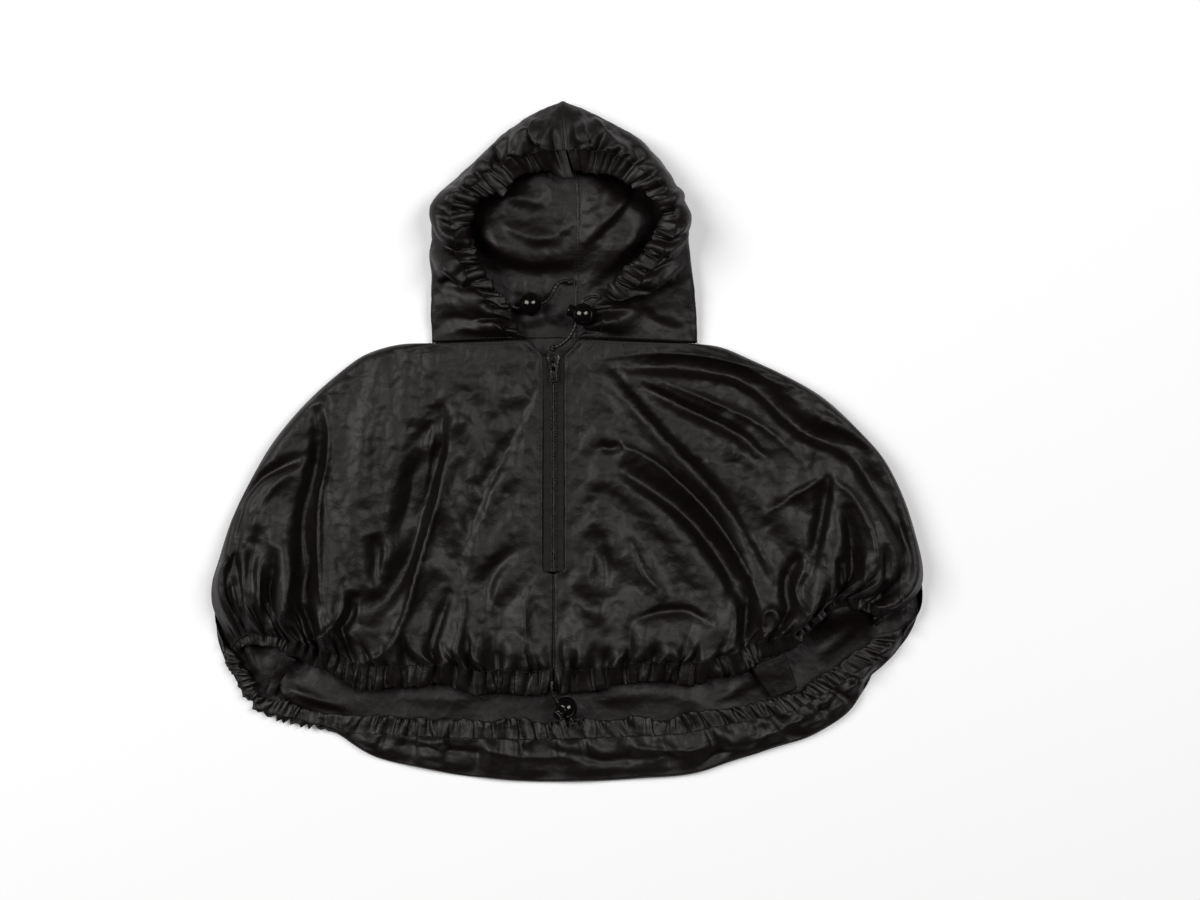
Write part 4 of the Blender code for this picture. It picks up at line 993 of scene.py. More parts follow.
def casings_along(parts, table, free_columns, edge, hem_rows, gathers, seed):
    """Casings sewn to a panel's edge.

    Each part has a name, its first and last row, and how fat, frilled and slack it is.
    """
    length = run_length(edge)
    for name, first, last, fat, frill, loose in parts:
        rows = np.linspace(first, last, 200)
        free = spline(table, rows)[:, free_columns:free_columns + 3]
        stitch = resampled(edge, hem_rows, rows)
        start = np.interp(first, hem_rows, length)
        casing_piece(name, stitch, free, gathers, start, fat, frill, loose, seed + first)


# ---------------------------------------------------------------- back panel

BACK_ROWS = 111
BACK_COLUMNS = 209
ROLL_ROWS = 34
BACK_SPARE = 0.022
CASING_DEPTH = 14.0       # from the rolled-up hem's edge to its stitching
# Where the back's inside stands up within the sleeves: the plan place, radius and rise.
SLEEVE_RISES = [(-262, -150, 17, 13), (-240, -154, 13, 9), (236, -134, 19, 15), (214, -142, 16, 11)]


def back_stitch(rows):
    """Points of the rolled-up hem where its casing is stitched."""
    outline, edge = rows[:, :2], rows[:, 3:5]
    reach = np.linalg.norm(outline - edge, axis=1)
    share = (np.minimum(CASING_DEPTH, 0.66 * reach) / reach)[:, None]
    return np.column_stack([edge + (outline - edge) * share, rows[:, 5] + 0.3])


def back_form():
    """The back on the table from the neck to its outline, then its lower edge rolled over.

    Returns the grid and the hem's row numbers.
    """
    places = np.linspace(0, 1, BACK_COLUMNS)
    us = 0.5 * places + 0.25 * (1 - np.cos(math.pi * places))
    vs = 1 - (1 - np.linspace(0, 1, BACK_ROWS)) ** 1.25
    left = spline(SIDE_LEFT, rows_along(SIDE_LEFT, vs))
    right = spline(SIDE_RIGHT, rows_along(SIDE_RIGHT, vs))
    hem_rows = rows_along(HEM_BACK, us)
    bottom = spline(HEM_BACK, hem_rows)
    top = left[0][:2] * (1 - us[:, None]) + right[0][:2] * us[:, None]
    plan = patch(top, bottom[:, :2], left[:, :2], right[:, :2], us, vs)
    floor_z = np.zeros(plan.shape[:2])
    for edge_z, away in ((left[:, 2:3], np.linalg.norm(plan - plan[:, :1], axis=2)),
                         (right[:, 2:3], np.linalg.norm(plan - plan[:, -1:], axis=2)),
                         (bottom[None, :, 2], np.linalg.norm(plan - plan[-1:], axis=2))):
        floor_z += edge_z * np.exp(-(away / 4.0)) * np.clip(1 - away / 9, 0, 1)
    grid = [np.dstack([plan, floor_z])]
    stitch = back_stitch(bottom)
    for turn in np.linspace(0, math.pi / 2, ROLL_ROWS + 1)[1:]:
        place = bottom[:, :2] + (stitch[:, :2] - bottom[:, :2]) * (1 - math.cos(turn))
        height = bottom[:, 2] + (stitch[:, 2] - bottom[:, 2]) * math.sin(turn)
        grid.append(np.column_stack([place, height])[None])
    return np.concatenate(grid), hem_rows


def back_places(form):
    """How each point of the back lies: on the roll or not, and its distances from the edges."""
    on_roll = np.zeros(form.shape[:2])
    on_roll[BACK_ROWS:] = 1.0
    edge = np.minimum.reduce([np.linalg.norm(form - line, axis=2)
                              for line in (form[:, :1], form[:, -1:], form[:1])])
    return SimpleNamespace(
        x=form[..., 0], y=form[..., 1], on_roll=on_roll, edge=edge,
        along_hem=np.broadcast_to(run_length(form[-1]), form.shape[:2]),
        to_hem=run_down(form[::-1])[::-1],
        off_fold=smoothstep(np.linalg.norm(form - form[BACK_ROWS - 1:BACK_ROWS], axis=2), 0, 10))


def back_panel(folds, folds_inside, gathers):
    """The back, settled. Returns its grid and its hem's row numbers."""
    form, hem_rows = back_form()
    at = back_places(form)
    loose = smoothstep(at.edge, 0, 24)
    spare = BACK_SPARE * patches(at.x, at.y, 70, 91) * loose
    wide = mixed(soft_noise, at.x, at.y, ((1.3, 38, 93), (0.5, 22, 94))) * (0.5 + 0.5 * at.on_roll)
    hold = np.where(at.on_roll > 0, 0.03, 0.04) + 0.2 * (1 - loose) + 0.1 * (1 - at.off_fold)
    form = large_folds(form, spare, spare, hold, wide * loose, steps=160, floor=0.0)
    high, aside = gathers.pleats(at.along_hem, at.to_hem, 20, 0.30)
    ease = smoothstep(at.edge, 0, 12)
    quiet = at.on_roll * ease * at.off_fold
    form = form + unit(np.gradient(form, axis=1)) * (aside * quiet)[..., None]
    form[..., 2] += quiet * (high + fold_heights(at.x, at.y, folds) * smoothstep(at.to_hem, 2, 12))
    lying = (1 - at.on_roll) * ease * at.off_fold
    form[..., 2] += lying * np.clip(1.5 * fold_heights(at.x, at.y, folds_inside), 0, None)
    for px, py, radius, rise in SLEEVE_RISES:
        away = np.hypot(at.x - px, at.y - py)
        form[..., 2] += (1 - at.on_roll) * rise * np.exp(-(away / radius) ** 2) * ease
    form[..., 2] += ease * at.off_fold * (mixed(facets, at.x, at.y, ((0.6, 24, 70), (0.45, 11, 77)))
                                          + creases(at.x, at.y, 30, 71))
    form += frilled_edge(form, at.along_hem, gathers)
    form[..., 2] = np.maximum(form[..., 2], 0)
    return form, hem_rows


def frilled_edge(form, along_hem, gathers):
    """How the left end of the back, which isn't rolled far, is frilled out by its elastic."""
    outline = form[BACK_ROWS - 1]
    away = np.linalg.norm(form - outline, axis=2)
    weight = np.exp(-(away / 6.0) ** 2)
    weight = weight * smoothstep(along_hem, 0, 14) * (1 - smoothstep(along_hem, 96, 130))
    bulge = gathers.wave(along_hem + 2.0 * soft_noise(along_hem, away, 9, 3))[0]
    outward = unit(outline[:, :2] - form[-1, :, :2])
    frill = np.zeros(form.shape)
    frill[..., :2] = outward * (weight * (6.0 * bulge - 3.4))[..., None]
    frill[..., 2] = weight * 2.4 * bulge
    return frill


# ---------------------------------------------------------------- hood

HOOD_ROWS = 121
FLOOR_COLUMNS = 56
UNDER_COLUMNS = 12
OVER_COLUMNS = 45
HOOD_SPARE = 0.024
HOOD_HUMP = 11.0          # how far the back of the hood stands up inside, off the table


def hood_form(sign, sections):
    """Half of the hood: from the seam on the table, round the outline, to the face casing."""
    fractions = np.linspace(0, 1, HOOD_ROWS)
    rows = rows_along(sections, fractions)
    table = spline(sections, rows)
    seam = spline(HOOD_SEAM, rows_along(HOOD_SEAM, fractions)) + (sign * 0.1, 0)
    outline, stitch = table[:, :2], table[:, 3:5]
    contact = outline + unit(seam - outline) * HOOD_FLOOR_INSET
    contact[0, 1] = seam[0, 1]
    columns = []
    for f in np.linspace(0, 1, FLOOR_COLUMNS, endpoint=False):
        columns.append(np.column_stack([seam + (contact - seam) * f, 0 * rows]))
    for turn in np.linspace(0, math.pi / 2, UNDER_COLUMNS, endpoint=False):
        plan = contact + (outline - contact) * math.sin(turn)
        columns.append(np.column_stack([plan, table[:, 2] * (1 - math.cos(turn))]))
    for turn in np.linspace(0, math.pi / 2, OVER_COLUMNS):
        plan = outline + (stitch - outline) * (1 - math.cos(turn))
        height = table[:, 2] + (table[:, 5] - table[:, 2]) * math.sin(turn)
        columns.append(np.column_stack([plan, height]))
    return np.stack(columns, axis=1), rows


def hood_places(form):
    """How each point of a hood half lies: inside or over, and its distances from the edges."""
    column = np.arange(form.shape[1])
    shape = form.shape[:2]
    return SimpleNamespace(
        x=form[..., 0], y=form[..., 1],
        over=np.broadcast_to(1.0 * (column >= FLOOR_COLUMNS + UNDER_COLUMNS), shape),
        inside=np.broadcast_to(1.0 * (column < FLOOR_COLUMNS), shape),
        to_casing=run_across(form[:, ::-1])[:, ::-1],
        from_seam=run_across(form),
        along_casing=np.broadcast_to(run_length(form[:, -1])[:, None], shape),
        neck=np.linalg.norm(form - form[:1], axis=2),
        peak=np.linalg.norm(form - form[-1:], axis=2))


def hood_panel(sections, sign, folds_over, folds_inside, gathers, seed):
    """Half of the hood, settled, with its sections' row numbers."""
    form, numbers = hood_form(sign, sections)
    at = hood_places(form)
    loose = smoothstep(at.neck, 0, 20) * smoothstep(at.peak, 0, 14) * smoothstep(at.from_seam, 0, 14)
    spare = HOOD_SPARE * patches(at.x, at.y, 50, seed + 8) * loose * (1 - 0.7 * at.inside)
    wide = mixed(soft_noise, at.x, at.y, ((1.1, 30, seed + 6), (0.5, 17, seed + 7)))
    wide = wide * (1 - 0.5 * at.inside)
    form = large_folds(form, spare, spare, 0.03 + 0.2 * (1 - loose), wide * loose, steps=90, floor=0.0)
    bumps = (mixed(facets, at.x, at.y, ((0.8, 22, seed), (0.40, 10, seed + 4)))
             + 0.8 * creases(at.x, at.y, 26, seed + 6))
    near_end = smoothstep(at.neck, 0, 10) * smoothstep(at.peak, 0, 10) * smoothstep(at.from_seam, -4, 6)
    form = hood_outside(form, at, folds_over, bumps, near_end, gathers)
    free_edge = spline(sections, numbers)[:, 6:8]
    open_width = np.linalg.norm(free_edge - form[:, 0, :2], axis=1)[:, None]
    hump = HOOD_HUMP * (1 - smoothstep(at.from_seam, open_width - 24, open_width + 6)) * smoothstep(
        at.y, 136, 166)
    form[..., 2] += at.inside * hump
    form[..., 2] += at.inside * np.clip(fold_heights(at.x, at.y, folds_inside) + bumps, 0, None) * near_end
    form[..., 2] = np.maximum(form[..., 2], 0)
    return form, numbers


def hood_outside(form, at, folds, bumps, near_end, gathers):
    """The hood half with the folds, bumps and pleats of its upper side."""
    high, aside = gathers.pleats(at.along_casing, at.to_casing, 18, 0.42)
    away = grid_normals(form)
    away *= np.sign(away[HOOD_ROWS // 2, -4, 2])
    outward = at.over * (1.4 * fold_heights(at.x, at.y, folds) + bumps + high)
    form = form + away * (outward * near_end)[..., None]
    return form + unit(np.gradient(form, axis=0)) * (at.over * aside * near_end)[..., None]

# Large folds, listed one by one. The path runs in plan; a positive rise is a ridge, and a lean above 0
# makes the side to the left of the path the steep one.
FOLDS_LEFT = [
    # path, half_width, rise, lean
    ([(-203.8, 36), (-197.5, 13), (-198, -16), (-204, -45), (-205.4, -82), (-204, -134)], 5, 4.4, 0.5),
    ([(-209, 30), (-206, 2), (-211.5, -32), (-219, -66), (-223, -132)], 8, -6.5, -0.3),
    ([(-213, -12), (-234.5, -21.6), (-253.6, -32.4), (-266, -49),
      (-273.5, -74), (-281, -98)], 4.5, -3.4, 0.3),
    ([(-220, -22), (-240, -36), (-254, -56), (-262, -84)], 6, 2.2, -0.3),
    ([(-106, 30), (-106.5, -8), (-118, -49), (-127, -82), (-139, -115), (-168, -153)], 9.5, -7, 0.45),
    ([(-116, 18), (-129, -32), (-143, -86)], 8, -3.6, 0.3),
    ([(-110, 22), (-114, -12), (-121, -52)], 2.6, 2.2, 0),
    ([(-97, 6), (-107.5, -49), (-122.4, -99), (-134.9, -144),
      (-151.5, -173.5), (-180.5, -188)], 4.2, 4.4, -0.5),
    ([(-24, 50), (-44, 8), (-66, -38), (-84, -84), (-94, -124)], 6, -1.7, 0.4),
    ([(-184.7, -118), (-188, -144), (-205.4, -161), (-236, -180)], 4.6, 4, -0.4),
    ([(-176, -124), (-180, -146), (-192, -160)], 4.5, -3.8, 0),
    ([(-160, -76), (-157, -92), (-160, -120)], 6, -3.6, 0.3),
    ([(-267.7, -84), (-265, -124), (-262, -156)], 4.5, 3.2, 0.3),
    ([(-282, -96), (-275, -132), (-269, -160)], 4, 2.6, -0.3),
    ([(-274.5, -92), (-270.5, -126), (-265, -158)], 3.6, -3.4, 0),
    ([(-223.7, -84), (-230, -124), (-235, -160)], 4.4, 3.4, 0.4),
    ([(-241, -88), (-246, -122), (-249, -156)], 5, -3.6, 0.2),
    ([(-254, -94), (-255, -124), (-256, -156)], 3.8, 2.8, 0),
    ([(-150, 44), (-165, 8), (-172, -40), (-170, -96)], 11, 1.6, 0.3),
    ([(-84, 40), (-90, 20), (-92, -4)], 7, 1.6, 0),
    ([(-44, -90), (-62, -112), (-70, -150)], 6, -2.2, 0.3),
    ([(-26, -112), (-36, -140), (-33, -176)], 4, 1.8, 0),
    ([(-96, -122), (-106, -150), (-112, -182)], 4.4, -2.6, 0.2),
    ([(-84, -128), (-88, -156), (-92, -184)], 4, 2.4, 0),
]
FOLDS_RIGHT = [
    ([(22, 68), (68.5, 72.5), (110, 70), (152, 61)], 3.2, 2.2, -0.5),
    ([(40, 63), (110, 59), (151.5, 46.5), (193, 9), (234, -12), (259, -49), (287, -98)], 8.5, -5.6, -0.4),
    ([(60, 47), (101.7, 26), (143, 5), (168, -20)], 5, -3.6, 0.3),
    ([(76, 50), (116, 34), (158, 14), (196, -18)], 5.5, 2.6, 0),
    ([(28, 62), (52, 34), (81, 1), (126.6, -49), (170, -126)], 7.5, -5, 0.35),
    ([(42, -2), (76.8, -20), (122.4, -65.6), (155.6, -124), (161, -143)], 4.6, 4.2, 0.4),
    ([(42, -22), (101.7, -65.6), (141, -126), (147, -176)], 7.5, -5.6, -0.3),
    ([(150, -112), (149, -140), (146, -176)], 3.6, -3, 0),
    ([(140, -116), (139, -150), (136, -178)], 3.4, 2.6, 0),
    ([(216.2, -28), (212, -56), (205.4, -86), (199.6, -108)], 5, -5, 0.4),
    ([(160, -62), (186, -44), (213.7, -29)], 4.4, 3, 0.5),
    ([(216, -30), (234, -44), (249, -70), (256, -100)], 4.6, 3.2, 0.3),
    ([(228, -52), (236, -80), (237, -116)], 5, -3.4, 0),
    ([(201.3, -94), (189, -124), (203, -150)], 4, 3.2, 0.4),
    ([(192, -92), (180, -118), (184, -146)], 4.4, -3.4, 0),
    ([(164, -172), (161.4, -146), (168, -139), (174, -148), (181, -172)], 3.2, 3.4, 0),
    ([(26, -2), (34, -6), (46, -4)], 4, -2.4, 0),
    ([(50, -152), (70, -143), (98, -141), (122, -152)], 4, -2, 0.2),
    ([(20, -70), (30, -100), (26, -150)], 7, -2, 0.3),
    ([(52, -80), (62, -110), (84, -130)], 6, 2, 0.3),
    ([(210, -92), (215, -112), (217, -132)], 3.6, 3, 0.2),
    ([(224, -96), (226, -112), (227, -128)], 3.4, -3.2, 0),
    ([(246, -92), (246, -112), (244, -130)], 3.6, 3, 0),
    ([(262, -84), (264, -108), (258, -136)], 3.8, -3.4, 0),
    ([(274, -76), (279, -100), (272, -132)], 4, 2.8, 0),
    ([(90, 74), (140, 64), (186, 40)], 5, 1.8, 0),
]
FOLDS_BACK = [
    ([(-190, -238), (-176, -250), (-150, -262)], 4.5, 2.6, 0.4),
    ([(-150, -246), (-110, -256), (-60, -258)], 4, -2.6, 0.3),
    ([(-90, -250), (-40, -262), (10, -262)], 4.5, 2.2, 0.3),
    ([(-20, -254), (30, -266), (80, -262)], 4, -2.4, -0.3),
    ([(40, -250), (90, -258), (130, -250)], 4.5, 2.4, 0.3),
    ([(104, -276), (122, -262), (150, -254)], 3.5, -2.6, 0),
    ([(150, -250), (176, -240), (204, -226)], 4.5, 2.6, 0.3),
    ([(158, -219), (160, -236), (159, -259)], 3, -3, 0.4),
    ([(186, -240), (214, -222), (232, -204)], 4, -2.6, 0),
    ([(222, -216), (244, -196), (258, -178)], 4, 2.4, 0),
]
FOLDS_HOOD_LEFT = [
    ([(-106, 128), (-94, 136), (-82, 130)], 4, -2.6, 0.4),
    ([(-106, 140), (-98, 147), (-88, 143)], 4, 2.4, 0),
    ([(-108, 96), (-92, 104), (-70, 96)], 4.5, -1.6, 0.3),
    ([(-96, 90), (-84, 94), (-66, 88)], 3.5, 1, 0),
    ([(-50, 240), (-38, 250), (-22, 266)], 4.5, 3, 0.4),
    ([(-66, 226), (-54, 236), (-44, 254)], 4.5, -2.8, 0),
    ([(-20, 242), (-14, 258), (-10, 276)], 3.5, 2.2, 0),
]
FOLDS_HOOD_RIGHT = [
    ([(96, 166), (77, 152), (44, 129)], 5, -3.6, 0.4),
    ([(98, 150), (80, 136), (52, 118)], 4.5, 3, 0),
    ([(60, 112), (72, 100), (96, 92)], 5, -1.8, 0.3),
    ([(20, 268), (34, 252), (44, 238)], 4.5, 3, 0.4),
    ([(40, 256), (54, 240), (62, 226)], 4, -2.6, 0),
    ([(8, 276), (12, 260), (14, 244)], 3.5, 2, 0),
]
FOLDS_INSIDE_LEFT = [
    ([(-78, 190), (-68, 170), (-50, 155), (-26, 149), (4, 152)], 10, 8.5, -0.5),
    ([(-56, 186), (-42, 174), (-22, 168), (-4, 176), (6, 186)], 9, 6, -0.45),
    ([(-56, 208), (-34, 200), (-14, 206)], 9, 4, -0.3),
    ([(-50, 128), (-32, 131), (-8, 124)], 8, 3, 0),
    ([(-40, 96), (-24, 104), (-6, 104)], 7, 2.5, 0),
]
FOLDS_INSIDE_RIGHT = [
    ([(52, 214), (44, 196), (27, 178), (11, 162)], 8, 7, 0.5),
    ([(34, 214), (26, 200), (12, 190)], 7, 3.5, 0.3),
    ([(60, 172), (44, 156), (26, 140), (14, 128)], 9, 4.5, 0.4),
    ([(10, 108), (22, 114), (30, 128)], 7, 2.5, 0),
]
FOLDS_BACK_INSIDE = [
    ([(-234, -203), (-222, -208), (-205, -215), (-184, -219.5)], 4, 4, 0.45),
    ([(-238, -192), (-236, -204), (-228, -214)], 4, 3, 0.3),
    ([(-150, -206), (-110, -214), (-60, -210)], 6, 1.6, 0.3),
    ([(20, -216), (60, -210), (110, -214)], 5, 1.6, -0.3),
    ([(120, -214), (140, -204), (150, -196)], 4, 3, 0.4),
    ([(-268, -166), (-262, -178), (-256, -192)], 4, 4, 0.4),
    ([(206, -178), (222, -166), (240, -150)], 6, 2.5, 0.3),
]

# ---------------------------------------------------------------- stitching

STITCH_SIDES = 6
# Rings of one stitch: the place along it as a share of its length, its share of the thread's
# radius and the height of its centre off the cloth.
STITCH_RINGS = ((-0.5, 0.35, -0.20), (-0.3, 1.0, 0.10), (0.0, 1.1, 0.24), (0.3, 1.0, 0.10),
                (0.5, 0.35, -0.20))


def stitches(name, lines, step=3.0, length=2.1, thread=0.26):
    """Rows of lockstitch: each line is (path, outward directions) on the cloth's surface."""
    angles = np.linspace(0, 2 * math.pi, STITCH_SIDES, endpoint=False)
    one = capped_faces(len(STITCH_RINGS), STITCH_SIDES)
    points, faces = [], []
    for path, outward in lines:
        both = even_path(np.hstack([path, outward]), step / 2)
        centres, normals = both[1::2, :3], unit(both[1::2, 3:])
        along = unit(np.gradient(both[:, :3], axis=0))[1::2]
        across = unit(np.cross(along, normals))
        for centre, normal, a, b in zip(centres, normals, along, across):
            faces += [tuple(len(points) + k for k in face) for face in one]
            for place, width, lift in STITCH_RINGS:
                middle = centre + a * place * length + normal * (lift + 0.05)
                for angle in angles:
                    points.append(middle + thread * width * (
                        normal * math.cos(angle) + b * math.sin(angle)))
    dress(mesh_piece(name, np.array(points), faces, THREAD))


def line_from_edge(grid, outward, edge, distance):
    """Path on the cloth at a distance in from one edge of its grid, and its outward directions."""
    both = np.concatenate([grid, grid_normals(grid) * outward], axis=2)
    if edge in ("first_column", "last_column"):
        both = both.transpose(1, 0, 2)
    if edge in ("last_row", "last_column"):
        both = both[::-1]
    away = run_down(both[..., :3])
    k = np.argmax(away > distance, axis=0)
    places = np.arange(away.shape[1])
    f = ((distance - away[k - 1, places]) / (away[k, places] - away[k - 1, places]))[:, None]
    line = both[k - 1, places] * (1 - f) + both[k, places] * f
    return line[:, :3], line[:, 3:]


def part_of(line, low, high):
    """Stretch of a line between two shares of its points."""
    path, outward = line
    a, b = int(low * len(path)), int(high * len(path))
    return path[a:b], outward[a:b]


# ---------------------------------------------------------------- zip

# Height of the zip's upper side at places down its length.
ZIP_LEVELS = [(ZIP_BOTTOM, 11.4), (-84, 11.2), (-56, 11.2), (-30, 11.2), (-6, 11.2), (18, 11.4),
              (40, 12.0), (58, 13.0), (ZIP_TOP, 14.2)]
TOOTH_PITCH = 1.35
TURN_RINGS = 7
TURN_SIDES = 8
TAPE_THICKNESS = 0.6
# Height of a tape over the zip's level, from the coil out to its edge.
TAPE_PROFILE = (0.25, 0.15, 0.0, -0.1, -0.1, -0.05, 0.0, 0.1, 0.0)


def zip_height(y):
    levels = np.array(ZIP_LEVELS)
    return np.interp(y, levels[:, 0], levels[:, 1])


def zip_tapes():
    """Woven tapes on both sides of the coil, rippled by their stitching."""
    ys = np.linspace(ZIP_BOTTOM - 1, ZIP_TOP, 140)
    for side, sign in (("left", -1), ("right", 1)):
        inner, outer = ZIP_X + sign * (CHAIN_HALF - 0.9), ZIP_X + sign * (TAPE_HALF + 0.15)
        xs = np.linspace(inner, outer, len(TAPE_PROFILE))
        ripple = 0.18 * np.sin(ys * 0.42 + sign) + 0.12 * np.sin(ys * 1.1)
        top = np.array([[(x, y, zip_height(y) + rise + r) for x, rise in zip(xs, TAPE_PROFILE)]
                        for y, r in zip(ys, ripple)])
        low = top[:, ::-1] - (0, 0, TAPE_THICKNESS)
        piece = tube_piece(f"tape_{side}", np.concatenate([top, low], axis=1), TAPE)
        dress(piece, f"zip_tape_{side}")


def coil_turn(side, y):
    """Points of one rounded turn of the coil, from the middle out to one side."""
    points = []
    for f in np.linspace(-1, 1, TURN_RINGS):
        x = ZIP_X + side * (1.05 + 1.75 * f)
        radius = 0.52 * (1 - 0.35 * abs(f) ** 3)
        z = zip_height(y) + 0.55 + 0.35 * (1 - f * f)
        for angle in np.linspace(0, 2 * math.pi, TURN_SIDES, endpoint=False):
            points.append((x, y + 0.22 * side * f + radius * math.cos(angle),
                           z + radius * math.sin(angle)))
    return points


def zip_coil():
    """Coil halves that mesh, with the stitching that holds them and the bar at the end."""
    turn = capped_faces(TURN_RINGS, TURN_SIDES)
    points, faces = [], []
    for side in (-1, 1):
        first = ZIP_BOTTOM + 1 + (side > 0) * TOOTH_PITCH / 2
        for y in np.arange(first, SLIDER_Y - 5.5, TOOTH_PITCH):
            faces += [tuple(len(points) + k for k in face) for face in turn]
            points += coil_turn(side, y)
    dress(mesh_piece("coil", np.array(points), faces, ZIP_PLASTIC), "zip_chain")
    ys = np.linspace(ZIP_BOTTOM, SLIDER_Y - 4, 60)
    for offset, name in ((-2.5, "coil_stitching_left"), (2.5, "coil_stitching_right")):
        path = np.array([(ZIP_X + offset, y, zip_height(y) + 0.55) for y in ys])
        stitches(name, [(path, np.repeat([[0.0, 0.0, 1.0]], len(path), axis=0))],
                 step=1.5, length=1.2, thread=0.24)
    bars = []
    for dy in (-0.4, 0.3, 1.0, 1.7):
        ends = [(ZIP_X + dx, ZIP_BOTTOM + dy, 12.1) for dx in (-2.8, 2.8)]
        bars.append((np.array(ends), np.array([(0, 0, 1.0)] * 2)))
    stitches("zip_end_bar", bars, step=5.4, length=5.2, thread=0.36)


def rounded_prism(outline, low, high, bevel):
    """Bmesh of an upright prism with its edges rounded off."""
    data = bmesh.new()
    ring = [data.verts.new((x * MM, y * MM, low * MM)) for x, y in outline]
    top = [data.verts.new((x * MM, y * MM, high * MM)) for x, y in outline]
    data.faces.new(ring[::-1])
    data.faces.new(top)
    for k in range(len(ring)):
        n = (k + 1) % len(ring)
        data.faces.new((ring[k], ring[n], top[n], top[k]))
    bmesh.ops.recalc_face_normals(data, faces=data.faces)
    bmesh.ops.bevel(data, geom=data.edges[:], offset=bevel * MM, segments=3, affect="EDGES", profile=0.6)
    return data


def joined(name, parts, material, body, place=(0, 0, 0)):
    """One piece from several bmeshes."""
    mesh = bpy.data.meshes.new(name)
    whole = bmesh.new()
    for part in parts:
        part.to_mesh(mesh)
        part.free()
        whole.from_mesh(mesh)
    bmesh.ops.translate(whole, vec=Vector(place) * MM, verts=whole.verts)
    whole.to_mesh(mesh)
    whole.free()
    mesh.shade_smooth()
    mesh.set_sharp_from_angle(angle=math.radians(25))
    return new_piece(name, mesh, material, body)


def zip_slider():
    """Slider with its two plates, post and arch, edges rounded."""
    half_top, half_bottom = 5.2, 3.9
    low_y, wide_y, high_y = SLIDER_Y - 6.5, SLIDER_Y + 3, SLIDER_Y + 6.0
    outline = [(ZIP_X - half_bottom, low_y), (ZIP_X + half_bottom, low_y),
               (ZIP_X + half_bottom, SLIDER_Y - 1), (ZIP_X + half_top, wide_y),
               (ZIP_X + half_top - 1.2, high_y),
               (ZIP_X - half_top + 1.2, high_y), (ZIP_X - half_top, wide_y),
               (ZIP_X - half_bottom, SLIDER_Y - 1)]
    post = [(ZIP_X - 1.4, SLIDER_Y - 1.5), (ZIP_X + 1.4, SLIDER_Y - 1.5), (ZIP_X + 1.8, SLIDER_Y + 4),
            (ZIP_X - 1.8, SLIDER_Y + 4)]
    arch = rounded_prism([(-3.1, -1.5), (-3.1, 1.2), (-1.4, 3.4), (1.4, 3.4), (3.1, 1.2), (3.1, -1.5),
                          (1.7, -1.5), (1.7, 0.8), (0.8, 1.9), (-0.8, 1.9), (-1.7, 0.8), (-1.7, -1.5)],
                         -1.1, 1.1, 0.2)
    turn = Matrix(((0, 0, 1, ZIP_X * MM), (1, 0, 0, PIVOT_Y * MM), (0, 1, 0, PIVOT_Z * MM),
                   (0, 0, 0, 1)))
    bmesh.ops.transform(arch, matrix=turn, verts=arch.verts)
    lips = []
    for sign in (-1, 1):
        lip = [(ZIP_X + sign * 3.0, low_y + 0.3), (ZIP_X + sign * half_bottom, low_y + 0.3),
               (ZIP_X + sign * half_bottom, SLIDER_Y - 1), (ZIP_X + sign * half_top, wide_y),
               (ZIP_X + sign * (half_top - 0.9), wide_y), (ZIP_X + sign * 3.0, SLIDER_Y - 1)]
        lips.append(rounded_prism(lip[::sign], SLIDER_TOP - 2.6, SLIDER_TOP - 0.5, 0.3))
    parts = [rounded_prism(outline, SLIDER_TOP - 1.4, SLIDER_TOP, 0.6),
             rounded_prism(outline, 10.2, 11.2, 0.25),
             rounded_prism(post, 10.6, SLIDER_TOP - 0.6, 0.2), arch] + lips
    dress(joined("slider", parts, LACQUER, "poncho"), "zip_slider")


def pull_tab():
    """Tab with a window for the arch and a ribbed grip."""
    sides = [[(s * 1.5, 0.7), (s * 2.1, 0.7), (s * 2.5, -4.0), (s * 2.9, -12.6), (s * 2.0, -14.2),
              (s * 1.0, -14.2), (s * 1.0, -12.6), (s * 1.65, -5.2)][::s] for s in (-1, 1)]
    parts = [rounded_prism(side[::-1], -0.5, 0.5, 0.18) for side in sides]
    bar = [(-1.7, -0.6), (1.7, -0.6), (1.7, 0.7), (-1.7, 0.7)]
    parts.append(rounded_prism(bar, -0.5, 0.5, 0.2))
    web = [(-1.7, -14.1), (1.7, -14.1), (1.8, -5.2), (-1.8, -5.2)]
    parts.append(rounded_prism(web, -0.42, 0.42, 0.15))
    for k in range(5):
        y = -7.4 - 1.1 * k
        rib = [(-1.9, y - 0.35), (1.9, y - 0.35), (1.9, y + 0.35), (-1.9, y + 0.35)]
        parts.append(rounded_prism(rib, -0.5, 0.5, 0.15))
    tab = joined("tab", parts, LACQUER, "pull_tab", (ZIP_X, PIVOT_Y, PIVOT_Z))
    dress(tab, "zip_pull_tab")


# ---------------------------------------------------------------- cords and cord locks

CORD_SIDES = 24
BRAID_STRANDS = 4
BRAID_PITCH = 7.0
KNOT_SCALE = (0.72, 0.72, 1.05)
KNOT_CORD_RADIUS = 1.2    # the cord is drawn thinner where the knot is tight


